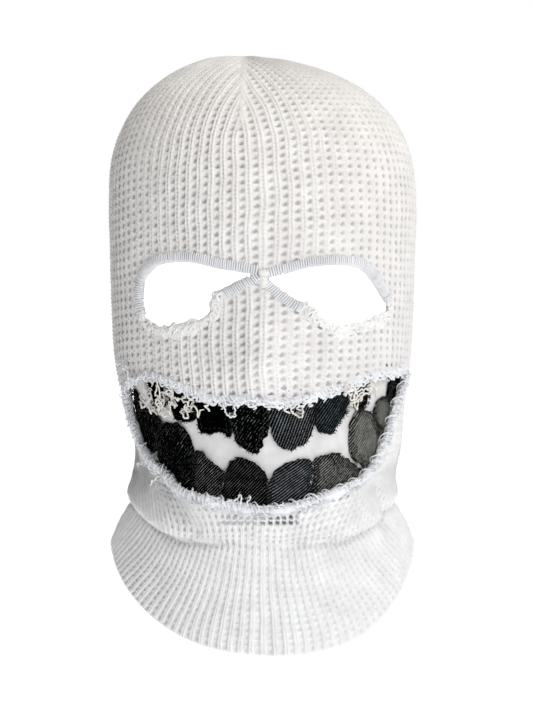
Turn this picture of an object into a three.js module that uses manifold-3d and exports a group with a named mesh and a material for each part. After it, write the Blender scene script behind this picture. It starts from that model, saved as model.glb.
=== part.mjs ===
// A knitted balaclava: a rib-knit hood with two bound eye holes and a torn mouth opening,
// which a cotton panel with denim teeth closes from behind.
// Millimetres, +Z up, the face towards -Y. The origin is where the crown of the wearer's
// head meets the hood.
//
// A place on the hood is given as [angle, height]: the angle goes round the head from the
// centre of the face, in degrees, positive towards +X, and the height is Z in millimetres.

import * as THREE from 'three';
import { mergeVertices } from 'three/addons/utils/BufferGeometryUtils.js';
import Module from 'manifold-3d';

const wasm = await Module();
wasm.setup();

// ---------------------------------------------------------------- driving dimensions

const KNIT = 2.5;
const DENIM = 0.9;
const COTTON = 0.6;
const THREAD_RADIUS = 0.35;
const YARN_RADIUS = 0.7;
const GAP = 0.3;

const DENIM_DEPTH = KNIT + GAP;
const COTTON_DEPTH = DENIM_DEPTH + DENIM + GAP;
const SEAM_DEPTH = COTTON_DEPTH + COTTON + GAP + THREAD_RADIUS;

const BINDING_WIDTH = 5;
const BINDING_PROUD = 0.6;
const EYE_FRAY_PROUD = 0.3;
const MOUTH_FRAY_WIDTH = 3.5;
const MOUTH_FRAY_PROUD = 1.2;
const MOUTH_ROLL_WIDTH = 5.5;
const MOUTH_ROLL_PROUD = 2.2;
const PANEL_MARGIN = 5.5;
const PANEL_SEAM_INSET = 2;
const CROWN_SEAM_RADIUS = 1.1;
const CROWN_SEAM_DEPTH = KNIT + 2;
const TACK_RADIUS = 0.9;
const TACK_DEPTH = -(BINDING_PROUD + GAP + TACK_RADIUS + 0.1);

const COLUMNS = 40;
const ROWS_PER_SPAN = 2;
const SQUARENESS = 0.93;
const HEM_SWEEP = 1.1;
const HEM_ROUNDING = 0.25;
const HEM_TILT = 0.05;

// The hood's cross-sections from the crown to the hem. Each has its height at the front,
// the sides and the back, its half width, its depth in front of and behind the ears, and
// how far its centre lies towards +X.
const SECTIONS = [
  [2.5, 2.5, 2.5, 0, 0, 0, -9],
  [0.5, 0.5, 0.5, 19, 20, 22, -8],
  [-7, -7, -7, 42, 47, 51, -4.5],
  [-19, -19, -19, 60, 66, 74, -2.5],
  [-34, -34, -34, 72.3, 80, 91, -1],
  [-53, -53, -53, 79.7, 90, 102, -0.5],
  [-76, -76, -76, 81.8, 94.5, 106, 0],
  [-103, -103, -103, 81.3, 95.5, 106, 0],
  [-131, -131, -131, 80.6, 94, 103, 0],
  [-159, -159, -159, 79, 96, 97, 0],
  [-181, -181, -181, 75, 97, 90, 1],
  [-203, -203, -203, 70, 96, 83, 3],
  [-221, -220, -220, 66.5, 92, 79, 0.5],
  [-248, -235, -242, 71.5, 83, 75, 0],
  [-276, -247, -265, 77.5, 79, 74, 0],
  [-305, -258, -289, 82, 81, 79, 0],
];
const SPANS = SECTIONS.length - 1;
const ROWS = SPANS * ROWS_PER_SPAN;

// ---------------------------------------------------------------- colours

const WHITE_KNIT = material(0xe9e8e6, 0.95);
const BINDING_WHITE = material(0xdfe0ea, 0.85);
const LOOSE_YARN = material(0xe6dfd2, 0.95);
const BLACK_DENIM = material(0x16181b, 0.9);
const FADED_DENIM = material(0x4a4d46, 0.9);
const COTTON_WHITE = material(0xdcd9da, 0.9);
const BLACK_THREAD = material(0x0c0d0f, 0.7);
const WHITE_THREAD = material(0xf0f0f2, 0.7);

function material(color, roughness) {
  return new THREE.MeshStandardMaterial({ color, roughness, metalness: 0 });
}

// ---------------------------------------------------------------- places on the hood

const MM_PER_DEGREE = 1.45;

function flat([degrees, height]) {
  return new THREE.Vector3(degrees * MM_PER_DEGREE, height, 0);
}

function unflat(point) {
  return [point.x / MM_PER_DEGREE, point.y];
}

// ---------------------------------------------------------------- the hood's surface

function smooth(from, to, value) {
  const t = THREE.MathUtils.clamp((value - from) / (to - from), 0, 1);
  return t * t * (3 - 2 * t);
}

// The section at a, from 0 at the crown to 1 at the hem, on a Catmull-Rom spline.
function section(a) {
  const along = THREE.MathUtils.clamp(a, 0, 1) * SPANS;
  const i = Math.min(Math.floor(along), SPANS - 1);
  const t = along - i;
  const p1 = SECTIONS[i];
  const p2 = SECTIONS[i + 1];
  // The crown is level, so the section before it mirrors the one after it.
  const p0 = i > 0 ? SECTIONS[i - 1] : p2.map((v, k) => (k > 2 && k < 6 ? -v : v));
  const p3 = i + 2 <= SPANS ? SECTIONS[i + 2] : p2.map((v, k) => 2 * v - p1[k]);
  return p1.map((v, k) => {
    const slope = p2[k] - p0[k];
    const bend = 2 * p0[k] - 5 * v + 4 * p2[k] - p3[k];
    const twist = 3 * v - p0[k] - 3 * p2[k] + p3[k];
    return 0.5 * (2 * v + slope * t + bend * t * t + twist * t * t * t);
  });
}

// The nose pushes the knit out between the eye holes and the mouth.
function noseDepth(x, y, z) {
  const rise = smooth(-111, -149, z) * (1 - smooth(-152, -177, z));
  return 9 * rise * Math.exp(-((x / 15) ** 2)) * smooth(0, 40, -y);
}

// The neck is pushed down into a roll that hangs over the collar. Returns how far the knit
// stands out there, and how far it sinks.
function neckRoll(degrees, z) {
  const crease = -248 + 14 * smooth(30, 80, degrees);
  const height = 2.2 + 4.3 * smooth(8, 38, degrees) - 3.5 * smooth(60, 110, degrees);
  const above = z - crease;
  const hang = above > 0 ? (above / 9) * Math.exp(1 - above / 9) : 0;
  const tuck = above > 0 ? Math.exp(-above / 3) : Math.exp(above / 7);
  return { out: height * (hang - 0.45 * tuck), down: 0.5 * height * hang };
}

// Four gores meet at the crown, and the knit sinks along the seams between them.
function crownFurrow(degrees, z, radius) {
  const fromSeam = Math.min(degrees % 90, 90 - (degrees % 90));
  const deep = degrees < 45 ? 2.5 : 1.2;
  return -deep * Math.exp(-((fromSeam / 9) ** 2)) * smooth(-41, -7, z) * smooth(0, 12, radius);
}

// How far the front and the back of the hem hang below its sides, from 0 at the sides to 1.
function hemSweep(cosine) {
  const rounded = Math.hypot(cosine, HEM_ROUNDING) - HEM_ROUNDING;
  return 1 - (1 - rounded / (Math.hypot(1, HEM_ROUNDING) - HEM_ROUNDING)) ** HEM_SWEEP;
}

function outerPoint(angle, a) {
  const [zFront, zSide, zBack, width, front, back, centre] = section(a);
  const s = Math.sin(angle);
  const c = Math.cos(angle);
  const sweep = hemSweep(c);
  const level = zSide + (c > 0 ? zFront - zSide : zBack - zSide) * sweep;
  const x = centre + width * Math.sign(s) * Math.abs(s) ** SQUARENESS;
  const z = level - HEM_TILT * x * smooth(-252, -300, level);
  const y = (c > 0 ? -front : back) * Math.abs(c) ** SQUARENESS;
  const degrees = Math.abs(THREE.MathUtils.radToDeg(angle));
  const radius = Math.hypot(x, y) + 1e-9;
  const roll = neckRoll(degrees, z);
  const push = roll.out + crownFurrow(degrees, z, radius);
  return new THREE.Vector3(
    x + (x / radius) * push,
    y + (y / radius) * push - noseDepth(x, y, z),
    z - roll.down,
  );
}

function outwardNormal(angle, a) {
  if (a < 1e-6) return new THREE.Vector3(0, 0, 1);
  const step = 1e-3;
  const around = outerPoint(angle + step, a).sub(outerPoint(angle - step, a));
  const down = outerPoint(angle, Math.min(a + step, 1)).sub(outerPoint(angle, a - step));
  return down.cross(around).normalize();
}

// A point below the outer face of the knit, or above it where the depth is negative.
function layerPoint(angle, a, depth) {
  return outerPoint(angle, a).addScaledVector(outwardNormal(angle, a), -depth);
}

// How far down the hood a height lies at an angle, found by halving.
function rowAt(angle, height) {
  let low = 0;
  let high = 1;
  for (let i = 0; i < 30; i++) {
    const middle = (low + high) / 2;
    if (outerPoint(angle, middle).z > height) low = middle;
    else high = middle;
  }
  return (low + high) / 2;
}

function placeAt([degrees, height], depth) {
  const angle = THREE.MathUtils.degToRad(degrees);
  return layerPoint(angle, rowAt(angle, height), depth);
}

// ---------------------------------------------------------------- closed solids

function closedGeometry(points, faces) {
  const geometry = new THREE.BufferGeometry();
  geometry.setAttribute('position', new THREE.Float32BufferAttribute(points, 3));
  geometry.setIndex(faces);
  return geometry;
}

function solidOf(geometry) {
  const bare = geometry.clone();
  bare.deleteAttribute('normal');
  bare.deleteAttribute('uv');
  const merged = mergeVertices(bare, 1e-4);
  const mesh = new wasm.Mesh({
    numProp: 3,
    vertProperties: new Float32Array(merged.attributes.position.array),
    triVerts: new Uint32Array(merged.index.array),
  });
  return new wasm.Manifold(mesh);
}

function geometryOf(solid) {
  const mesh = solid.getMesh();
  const points = [];
  for (let i = 0; i < mesh.vertProperties.length; i += mesh.numProp) {
    points.push(...mesh.vertProperties.subarray(i, i + 3));
  }
  return closedGeometry(points, Array.from(mesh.triVerts));
}

// A sheet of the hood between two depths, from one column and row of its grid to another.
// Every layer shares the grid, so that neighbouring layers stay parallel.
function sheet(outer, inner, firstColumn, lastColumn, firstRow, lastRow) {
  const points = [];
  const faces = [];
  const round = lastColumn - firstColumn === COLUMNS;
  const across = round ? COLUMNS : lastColumn - firstColumn + 1;
  const down = lastRow - firstRow + 1;
  const index = (side, i, j) => {
    if (j + firstRow === 0) return side;
    return 2 + (side * down + j) * across + (round ? (i + COLUMNS) % COLUMNS : i);
  };
  for (const depth of [outer, inner]) points.push(...layerPoint(0, 0, depth).toArray());
  for (const depth of [outer, inner]) {
    for (let j = 0; j < down; j++) {
      for (let i = 0; i < across; i++) {
        const angle = ((i + firstColumn) / COLUMNS) * 2 * Math.PI;
        points.push(...layerPoint(angle, (j + firstRow) / ROWS, depth).toArray());
      }
    }
  }
  const face = (a, b, c) => {
    if (a !== b && b !== c && c !== a) faces.push(a, b, c);
  };
  const quad = (a, b, c, d) => {
    face(a, b, c);
    face(a, c, d);
  };
  const strips = round ? COLUMNS : across - 1;
  for (let j = 0; j < down - 1; j++) {
    for (let i = 0; i < strips; i++) {
      quad(index(0, i, j), index(0, i, j + 1), index(0, i + 1, j + 1), index(0, i + 1, j));
      quad(index(1, i, j), index(1, i + 1, j), index(1, i + 1, j + 1), index(1, i, j + 1));
    }
    if (!round) {
      quad(index(1, 0, j), index(1, 0, j + 1), index(0, 0, j + 1), index(0, 0, j));
      const e = strips;
      quad(index(0, e, j), index(0, e, j + 1), index(1, e, j + 1), index(1, e, j));
    }
  }
  const b = down - 1;
  for (let i = 0; i < strips; i++) {
    quad(index(0, i, b), index(1, i, b), index(1, i + 1, b), index(0, i + 1, b));
    if (firstRow > 0) quad(index(0, i + 1, 0), index(1, i + 1, 0), index(1, i, 0), index(0, i, 0));
  }
  return solidOf(closedGeometry(points, faces));
}

function wholeSheet(outer, inner) {
  return sheet(outer, inner, 0, COLUMNS, 0, ROWS);
}

// The part of a layer around the face, wide enough for the eye holes and the mouth.
function faceSheet(outer, inner) {
  return sheet(outer, inner, -12, 12, 11, 26);
}

// ---------------------------------------------------------------- outlines and cutters


// A closed outline as a smooth loop of evenly spaced places.
function loop(places, count) {
  const curve = new THREE.CatmullRomCurve3(places.map(flat), true, 'centripetal');
  return curve.getSpacedPoints(count).slice(0, count).map(unflat);
}

function turnsLeft(places) {
  const points = places.map(flat).map((p) => new THREE.Vector2(p.x, p.y));
  return THREE.ShapeUtils.area(points) > 0;
}

// The outline moved outwards by a distance, or inwards where it is negative.
function grow(places, distance) {
  const points = places.map(flat);
  const side = turnsLeft(places) ? 1 : -1;
  return points.map((p, i) => {
    const before = points[(i + points.length - 1) % points.length];
    const after = points[(i + 1) % points.length];
    const along = after.clone().sub(before).normalize();
    return unflat(new THREE.Vector3(p.x + side * along.y * distance, p.y - side * along.x * distance, 0));
  });
}

// A cone from the middle of the head out through an outline, which cuts what it meets.
const CONE_REACH = 5;
const EYE_LEVEL = -122;
const MOUTH_LEVEL = -195;

function cutter(places, level) {
  const ring = turnsLeft(places) ? places : places.slice().reverse();
  const apex = new THREE.Vector3(0, 0, level);
  const ends = ring.map((place) => placeAt(place, 0).sub(apex).multiplyScalar(CONE_REACH).add(apex));
  const outline = ring.map(flat).map((p) => new THREE.Vector2(p.x, p.y));
  const cap = THREE.ShapeUtils.triangulateShape(outline, []);
  const points = apex.toArray().concat(...ends.map((p) => p.toArray()));
  const faces = [];
  for (const [a, b, c] of cap) faces.push(a + 1, b + 1, c + 1);
  for (let i = 0; i < ring.length; i++) {
    faces.push(0, ((i + 1) % ring.length) + 1, i + 1);
  }
  return solidOf(closedGeometry(points, faces));
}

function nearest(places, place) {
  const target = flat(place);
  const distances = places.map((p) => flat(p).distanceTo(target));
  return distances.indexOf(Math.min(...distances));
}

function isInside(place, outline) {
  const { x, y } = flat(place);
  const points = outline.map(flat);
  let inside = false;
  points.forEach((p, i) => {
    const q = points[(i + 1) % points.length];
    if (p.y > y === q.y > y) return;
    if (x < p.x + ((y - p.y) / (q.y - p.y)) * (q.x - p.x)) inside = !inside;
  });
  return inside;
}

// The strip between an outline and the same outline grown, from one place to another.
function strip(outline, width, from, to) {
  const outside = grow(outline, width);
  const inner = [];
  const outer = [];
  const last = nearest(outline, to);
  let i = nearest(outline, from);
  for (;;) {
    inner.push(outline[i]);
    outer.push(outside[i]);
    if (i === last) break;
    i = (i + 1) % outline.length;
  }
  return inner.concat(outer.reverse());
}

// A round thread or yarn along a curve through points.
function cord(points, radius, sides, steps) {
  const curve = new THREE.CatmullRomCurve3(points, false, 'centripetal');
  const outline = new THREE.Shape();
  for (let i = 0; i < sides; i++) {
    const angle = (i / sides) * 2 * Math.PI;
    const move = i === 0 ? 'moveTo' : 'lineTo';
    outline[move](radius * Math.cos(angle), radius * Math.sin(angle));
  }
  outline.closePath();
  return new THREE.ExtrudeGeometry(outline, { steps, extrudePath: curve, bevelEnabled: false });
}

// ---------------------------------------------------------------- the openings

const EYES = {
  right: {
    hole: [
      [-5, -112], [-14, -108.5], [-26, -105.5], [-38.5, -107], [-44.5, -111.5], [-48.5, -117],
      [-49, -128], [-46, -136], [-39, -139], [-29.5, -137.5], [-18, -132.5], [-14.5, -120.5],
    ],
    bridge: [-5, -112],
    outerEnd: [-49, -133],
    innerEnd: [-14.5, -120.5],
  },
  left: {
    hole: [
      [3, -114], [9.5, -110], [17, -107.5], [27.5, -107], [35, -108.5], [40, -112.5],
      [46, -120], [50.5, -126.5], [51, -132.5], [38.5, -136.5], [27, -138.5], [19, -133.5],
      [14, -126.5], [9.5, -123],
    ],
    bridge: [3, -114],
    outerEnd: [50.5, -126.5],
    innerEnd: [14, -126.5],
  },
};

const MOUTH_CORNERS = { right: [-65, -173], left: [69, -165] };
const MOUTH = [
  [-65, -173], [-52.5, -167], [-42, -166], [-25, -172.5], [-20, -175.5], [-7, -175],
  [1, -176], [11, -176], [21.5, -172], [32.5, -169], [43.5, -165], [58, -164.5],
  [69, -165], [61.5, -179.5], [51, -201.5], [43, -214], [22, -221.5], [8, -226],
  [-2.5, -226.5], [-21, -222.5], [-37.5, -218.5], [-59, -205], [-68, -191.5],
];

const EYE_POINTS = 36;
const MOUTH_POINTS = 60;
const mouthHole = loop(MOUTH, MOUTH_POINTS);

// ---------------------------------------------------------------- denim teeth

const UPPER_TEETH = [
  [[-50, -163], [-41.5, -163], [-42.5, -173], [-43, -179.5], [-47.5, -181], [-49.5, -175.5]],
  [
    [-38.5, -163], [-26.5, -165], [-25.5, -178.5], [-28.5, -185], [-32, -186.5], [-36, -186],
    [-39, -184], [-39.5, -174],
  ],
  [
    [-25, -168], [-12.5, -170], [-12.5, -184], [-13, -192], [-15, -193], [-17, -191],
    [-24.5, -191.5], [-27, -188],
  ],
  [
    [-11, -170], [0.5, -171], [1, -188.5], [-1, -194], [-3, -200], [-6, -200.5],
    [-10, -197.5], [-12.2, -192.5],
  ],
  [
    [2, -171], [17.5, -170], [18.8, -182], [18, -188.5], [15, -195], [9, -199],
    [3.5, -196.5], [1.5, -189.5],
  ],
  [
    [20, -168], [29, -165.5], [33.5, -173], [34, -179], [30.5, -185.5], [27, -190.8],
    [23, -191], [19.3, -188],
  ],
  [[35.5, -165], [43, -165], [44.5, -175.5], [43, -179.5], [38.5, -180.5], [35.5, -175]],
  [[48, -160], [58, -160], [57.5, -165], [52.5, -166.5], [48.5, -164]],
];

const LOWER_TEETH = [
  [
    [-66, -175], [-62, -175], [-59.5, -181], [-56, -183], [-51, -183], [-48.5, -187],
    [-49, -194], [-54, -202], [-64, -205], [-71, -192],
  ],
  [
    [-47.5, -190], [-42.5, -188.5], [-37.5, -188], [-33.5, -193], [-32.3, -202], [-32, -212],
    [-34, -224], [-47, -216], [-56, -205],
  ],
  [
    [-31.5, -202.5], [-28.5, -201], [-25, -205], [-18, -210.5], [-17.5, -217],
    [-18, -229], [-31, -226], [-31.5, -214],
  ],
  [
    [-16.5, -210.5], [-14.5, -205], [-10, -203.5], [-5.5, -205], [-1, -210.5], [0.8, -215.5],
    [1, -232], [-16, -231], [-17, -220],
  ],
  [
    [1.8, -214.5], [5, -207.5], [9.5, -204.8], [15, -204], [17.5, -206.5], [19.3, -215],
    [19.5, -229], [2, -232],
  ],
  [
    [18.3, -206.5], [20, -203.5], [27, -201.8], [33, -204.5], [38.5, -208], [45.5, -213.5],
    [44, -221], [32, -226], [20.8, -228], [20.4, -214],
  ],
  [
    [37, -204.5], [35, -193.5], [37.5, -183], [42.5, -181], [48.5, -184.5], [53.5, -194],
    [54, -203], [49, -213], [45, -210.5],
  ],
  [
    [50, -185], [51.5, -178], [56.5, -175.3], [60, -178.5], [64, -184], [62, -194],
    [56, -200], [54.8, -193],
  ],
  [[60.5, -177.5], [60, -169.5], [66, -164.5], [72, -163], [72, -172], [66, -182]],
];

const TOOTH_POINTS = 18;
const TOOTH_CLEARANCE = 0.45;
const STITCH_INSET = 2.6;
const STITCH_MARGIN = 2;
const STITCH_DEPTH = DENIM_DEPTH - GAP - THREAD_RADIUS - 0.2;

// Faded denim shows on three of the teeth at the +X end of the lower row.
const FADED_LOWER_TEETH = [6, 7, 8];

// Teeth whose stitching line is long enough to be a thread of its own.
const STITCHED_UPPER_TEETH = [2, 3, 4, 5, 6];
const STITCHED_LOWER_TEETH = [2, 3, 4, 5, 6, 7];

// ---------------------------------------------------------------- loose yarn

// Unravelled lengths of yarn, each through its own places.
const LOOSE_YARNS = {
  mouth_yarn_corner: [[-51.5, -168], [-47, -175], [-56, -178], [-48.5, -182], [-44, -185]],
  mouth_yarn_loops: [[-42, -168], [-39, -175], [-43, -180], [-36, -181], [-33, -173], [-37, -170]],
  mouth_yarn_knot: [[-31, -172], [-26, -176], [-31, -181], [-25, -180], [-22, -181]],
  mouth_yarn_hook: [[-13, -174], [-12.5, -181], [-10, -182], [-9, -174]],
  mouth_yarn_vee: [[6, -173], [11, -182], [14, -174]],
  mouth_yarn_curl: [[28, -168], [33, -172], [34, -178], [37, -173], [41, -169], [46, -172]],
  cheek_yarn: [[-67, -158], [-60, -161], [-58, -166], [-65, -171], [-69, -165]],
  chin_yarn: [[-11, -228], [-9, -222], [-6.5, -227], [-4.5, -221]],
  jaw_yarn: [[-68, -213], [-58.5, -209], [-54, -213], [-49, -215], [-54, -221]],
};
const YARN_DEPTH = -(MOUTH_ROLL_PROUD + GAP + YARN_RADIUS + 0.6);

// ---------------------------------------------------------------- assembly

const balaclava = new THREE.Group();
balaclava.name = 'balaclava';

function add(name, geometry, finish) {
  const mesh = new THREE.Mesh(geometry, finish);
  mesh.name = name;
  balaclava.add(mesh);
}

function addCut(name, sheetSolid, outline, level, finish) {
  add(name, geometryOf(sheetSolid.intersect(cutter(outline, level))), finish);
}

// The rim of each eye hole: two overlocked bindings and a stretch of raw, frayed knit.
function addEyeRim(side, eye, rimSheet, fraySheet) {
  const hole = loop(eye.hole, EYE_POINTS);
  const ends = [eye.bridge, eye.outerEnd, eye.innerEnd].map((place) => nearest(hole, place));
  const piece = (from, to) => {
    const first = hole[(ends[from] + (from === 0 ? 0 : 1)) % EYE_POINTS];
    const last = hole[(ends[to] + EYE_POINTS - (to === 0 ? 1 : 0)) % EYE_POINTS];
    return strip(hole, BINDING_WIDTH, first, last);
  };
  addCut(`${side}_eye_upper_binding`, rimSheet, piece(0, 1), EYE_LEVEL, BINDING_WHITE);
  addCut(`${side}_eye_frayed_edge`, fraySheet, piece(1, 2), EYE_LEVEL, WHITE_KNIT);
  addCut(`${side}_eye_inner_binding`, rimSheet, piece(2, 0), EYE_LEVEL, BINDING_WHITE);
  return cutter(grow(hole, BINDING_WIDTH + GAP), EYE_LEVEL);
}

function addMouthRims() {
  const roll = faceSheet(-MOUTH_ROLL_PROUD, KNIT);
  const fringe = faceSheet(-MOUTH_FRAY_PROUD, KNIT);
  const left = nearest(mouthHole, MOUTH_CORNERS.left);
  const right = nearest(mouthHole, MOUTH_CORNERS.right);
  const along = (width, from, to) => {
    const at = (index) => mouthHole[(index + MOUTH_POINTS) % MOUTH_POINTS];
    return strip(mouthHole, width, at(from), at(to));
  };
  const upper = along(MOUTH_FRAY_WIDTH, right + 1, left - 1);
  const lower = along(MOUTH_ROLL_WIDTH, left, right);
  addCut('mouth_upper_frayed_edge', fringe, upper, MOUTH_LEVEL, WHITE_KNIT);
  addCut('mouth_lower_rolled_edge', roll, lower, MOUTH_LEVEL, WHITE_KNIT);
  const upperRoom = along(MOUTH_FRAY_WIDTH + GAP, right, left);
  const lowerRoom = along(MOUTH_ROLL_WIDTH + GAP, left - 1, right + 1);
  const room = [upperRoom, lowerRoom, grow(mouthHole, 1)];
  return room.map((outline) => cutter(outline, MOUTH_LEVEL)).reduce((all, next) => all.add(next));
}

function addHood() {
  const rimSheet = faceSheet(-BINDING_PROUD, KNIT + BINDING_PROUD);
  const fraySheet = faceSheet(-EYE_FRAY_PROUD, KNIT);
  let hood = wholeSheet(0, KNIT);
  for (const [side, eye] of Object.entries(EYES)) {
    hood = hood.subtract(addEyeRim(side, eye, rimSheet, fraySheet));
  }
  hood = hood.subtract(addMouthRims());
  add('knit_hood', geometryOf(hood), WHITE_KNIT);
}

function addCrownSeams() {
  const names = ['front', 'left', 'back', 'right'];
  for (let i = 0; i < names.length; i++) {
    const angle = (i * Math.PI) / 2;
    const points = [];
    for (let k = 2; k <= 9; k++) points.push(layerPoint(angle, (k * 0.5) / SPANS, CROWN_SEAM_DEPTH));
    add(`crown_seam_${names[i]}`, cord(points, CROWN_SEAM_RADIUS, 6, 10), WHITE_THREAD);
  }
}

function addBridgeTack() {
  const points = [-112, -115.5, -119].map((height) => placeAt([0.3, height], TACK_DEPTH));
  add('nose_bridge_tack', cord(points, TACK_RADIUS, 6, 4), WHITE_THREAD);
}

function addMouthPanel() {
  const panel = faceSheet(COTTON_DEPTH, COTTON_DEPTH + COTTON);
  const outline = grow(mouthHole, PANEL_MARGIN);
  addCut('mouth_backing_panel', panel, outline, MOUTH_LEVEL, COTTON_WHITE);
  const seam = grow(mouthHole, PANEL_MARGIN - PANEL_SEAM_INSET);
  const left = nearest(mouthHole, MOUTH_CORNERS.left);
  const right = nearest(mouthHole, MOUTH_CORNERS.right);
  const upper = [];
  for (let i = right + 1; i < left; i++) upper.push(placeAt(seam[i], SEAM_DEPTH));
  const lower = [];
  for (let i = left + 1; i < MOUTH_POINTS + right; i++) {
    lower.push(placeAt(seam[i % MOUTH_POINTS], SEAM_DEPTH));
  }
  add('panel_seam_upper', cord(upper, THREAD_RADIUS, 4, 24), WHITE_THREAD);
  add('panel_seam_lower', cord(lower, THREAD_RADIUS, 4, 30), WHITE_THREAD);
}

// A line of stitches inside a tooth's edge, along the stretch that shows in the mouth.
function stitchLine(outline) {
  const window = grow(mouthHole, -STITCH_MARGIN);
  const inset = grow(outline, -STITCH_INSET);
  const count = inset.length;
  const shows = inset.map((place) => isInside(place, window));
  const first = shows.findIndex((shown, i) => shown && !shows[(i + count - 1) % count]);
  const line = [];
  for (let i = Math.max(first, 0); line.length < count && shows[i % count]; i++) {
    line.push(inset[i % count]);
  }
  return line;
}

function addTeeth() {
  const backing = cutter(grow(mouthHole, PANEL_MARGIN), MOUTH_LEVEL);
  const denim = faceSheet(DENIM_DEPTH, DENIM_DEPTH + DENIM).intersect(backing);
  let taken = null;
  const addRow = (row, teeth, fadedTeeth) => {
    teeth.forEach((places, i) => {
      const outline = loop(places, TOOTH_POINTS);
      let tooth = denim.intersect(cutter(outline, MOUTH_LEVEL));
      if (taken) tooth = tooth.subtract(taken);
      const finish = fadedTeeth.includes(i + 1) ? FADED_DENIM : BLACK_DENIM;
      add(`${row}_tooth_${i + 1}`, geometryOf(tooth), finish);
      const room = cutter(grow(outline, TOOTH_CLEARANCE), MOUTH_LEVEL);
      taken = taken ? taken.add(room) : room;
    });
  };
  addRow('upper', UPPER_TEETH, []);
  addRow('lower', LOWER_TEETH, FADED_LOWER_TEETH);
}

function addStitching(row, teeth, stitched) {
  for (const number of stitched) {
    const outline = loop(teeth[number - 1], TOOTH_POINTS);
    const points = stitchLine(outline).map((place) => placeAt(place, STITCH_DEPTH));
    add(`${row}_tooth_${number}_stitching`, cord(points, THREAD_RADIUS, 4, 9), BLACK_THREAD);
  }
}

function addLooseYarns() {
  for (const [name, places] of Object.entries(LOOSE_YARNS)) {
    const points = places.map((place) => placeAt(place, YARN_DEPTH));
    add(name, cord(points, YARN_RADIUS, 4, 4 * places.length), LOOSE_YARN);
  }
}

addHood();
addCrownSeams();
addBridgeTack();
addMouthPanel();
addTeeth();
addStitching('upper', UPPER_TEETH, STITCHED_UPPER_TEETH);
addStitching('lower', LOWER_TEETH, STITCHED_LOWER_TEETH);
addLooseYarns();

export default balaclava;
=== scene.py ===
import math

import bpy
import numpy as np
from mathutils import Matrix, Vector
from mathutils.geometry import delaunay_2d_cdt


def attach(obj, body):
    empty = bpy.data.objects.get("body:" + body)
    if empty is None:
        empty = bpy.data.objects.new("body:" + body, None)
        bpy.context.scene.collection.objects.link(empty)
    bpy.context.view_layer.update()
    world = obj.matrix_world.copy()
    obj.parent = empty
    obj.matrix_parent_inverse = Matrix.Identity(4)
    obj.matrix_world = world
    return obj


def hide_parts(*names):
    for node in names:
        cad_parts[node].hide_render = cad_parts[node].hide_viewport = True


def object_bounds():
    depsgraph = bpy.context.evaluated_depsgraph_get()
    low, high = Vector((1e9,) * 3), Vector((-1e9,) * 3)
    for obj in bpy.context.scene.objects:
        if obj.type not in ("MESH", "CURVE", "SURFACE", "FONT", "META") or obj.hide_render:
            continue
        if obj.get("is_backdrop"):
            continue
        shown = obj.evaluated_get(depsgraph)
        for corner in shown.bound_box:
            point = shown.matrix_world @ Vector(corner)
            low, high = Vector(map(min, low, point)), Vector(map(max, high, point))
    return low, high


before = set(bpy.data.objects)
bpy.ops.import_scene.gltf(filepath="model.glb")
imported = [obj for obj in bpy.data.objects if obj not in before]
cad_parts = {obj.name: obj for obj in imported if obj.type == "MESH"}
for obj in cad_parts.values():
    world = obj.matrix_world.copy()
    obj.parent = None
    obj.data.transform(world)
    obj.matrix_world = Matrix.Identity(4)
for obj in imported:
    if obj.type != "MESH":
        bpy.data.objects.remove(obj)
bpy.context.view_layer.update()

# A rib-knit balaclava with a torn mouth that a cotton panel and denim teeth close from behind.
# Lengths below are in millimetres in the part's frame, and turn into metres when a mesh is built.
# A flat place is (x, height), with x = degrees from the face's centre times MM_PER_DEGREE.

MM = 0.001
KNIT = 2.5
DENIM = 0.9
COTTON = 0.6
DENIM_DEPTH = 2.8
COTTON_DEPTH = 4.0
MM_PER_DEGREE = 1.45
SQUARENESS = 0.93
HEM_SWEEP = 1.1
HEM_ROUNDING = 0.25
HEM_TILT = 0.05
SEAM_TURN = -6.5
FOLD_REACH = 5
APEX_X = -9
NOSE_PROUD = 9

rng = np.random.default_rng(20)

# -------- the hood's surface

# Height at the front, sides and back, half width, depth in front and behind, centre towards +X.
SECTIONS = np.array([
    [2.5, 2.5, 2.5, 0, 0, 0, -9],
    [0.5, 0.5, 0.5, 19, 20, 22, -8],
    [-7, -7, -7, 42, 47, 51, -4.5],
    [-19, -19, -19, 60, 66, 74, -2.5],
    [-34, -34, -34, 72.3, 80, 91, -1],
    [-53, -53, -53, 79.7, 90, 102, -0.5],
    [-76, -76, -76, 81.8, 94.5, 106, 0],
    [-103, -103, -103, 81.3, 95.5, 106, 0],
    [-131, -131, -131, 80.6, 94, 103, 0],
    [-159, -159, -159, 79, 96, 97, 0],
    [-181, -181, -181, 75, 97, 90, 1],
    [-203, -203, -203, 70, 96, 83, 3],
    [-221, -220, -220, 66.5, 92, 79, 0.5],
    [-248, -235, -242, 71.5, 83, 75, 0],
    [-276, -247, -265, 77.5, 79, 74, 0],
    [-305, -258, -289, 82, 81, 79, 0],
], float)
SPANS = len(SECTIONS) - 1
# Multiplied with the second section, this gives the section beyond the apex.
MIRROR = np.array([1, 1, 1, -1, -1, -1, 1.0])
# Valleys beside the chin: from one place (degrees, height) to another, and how deep.
CHIN_FOLDS = [((-50, -213), (-27, -239), 3.5), ((57, -221), (61, -240), 3)]


def smooth(low, high, value):
    t = np.clip((value - low) / (high - low), 0, 1)
    return t * t * (3 - 2 * t)


def catmull(p0, p1, p2, p3, t):
    """A Catmull-Rom spline between p1 and p2."""
    bend = 2 * p0 - 5 * p1 + 4 * p2 - p3
    twist = 3 * p1 - p0 - 3 * p2 + p3
    return 0.5 * (2 * p1 + (p2 - p0) * t + bend * t**2 + twist * t**3)


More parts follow.
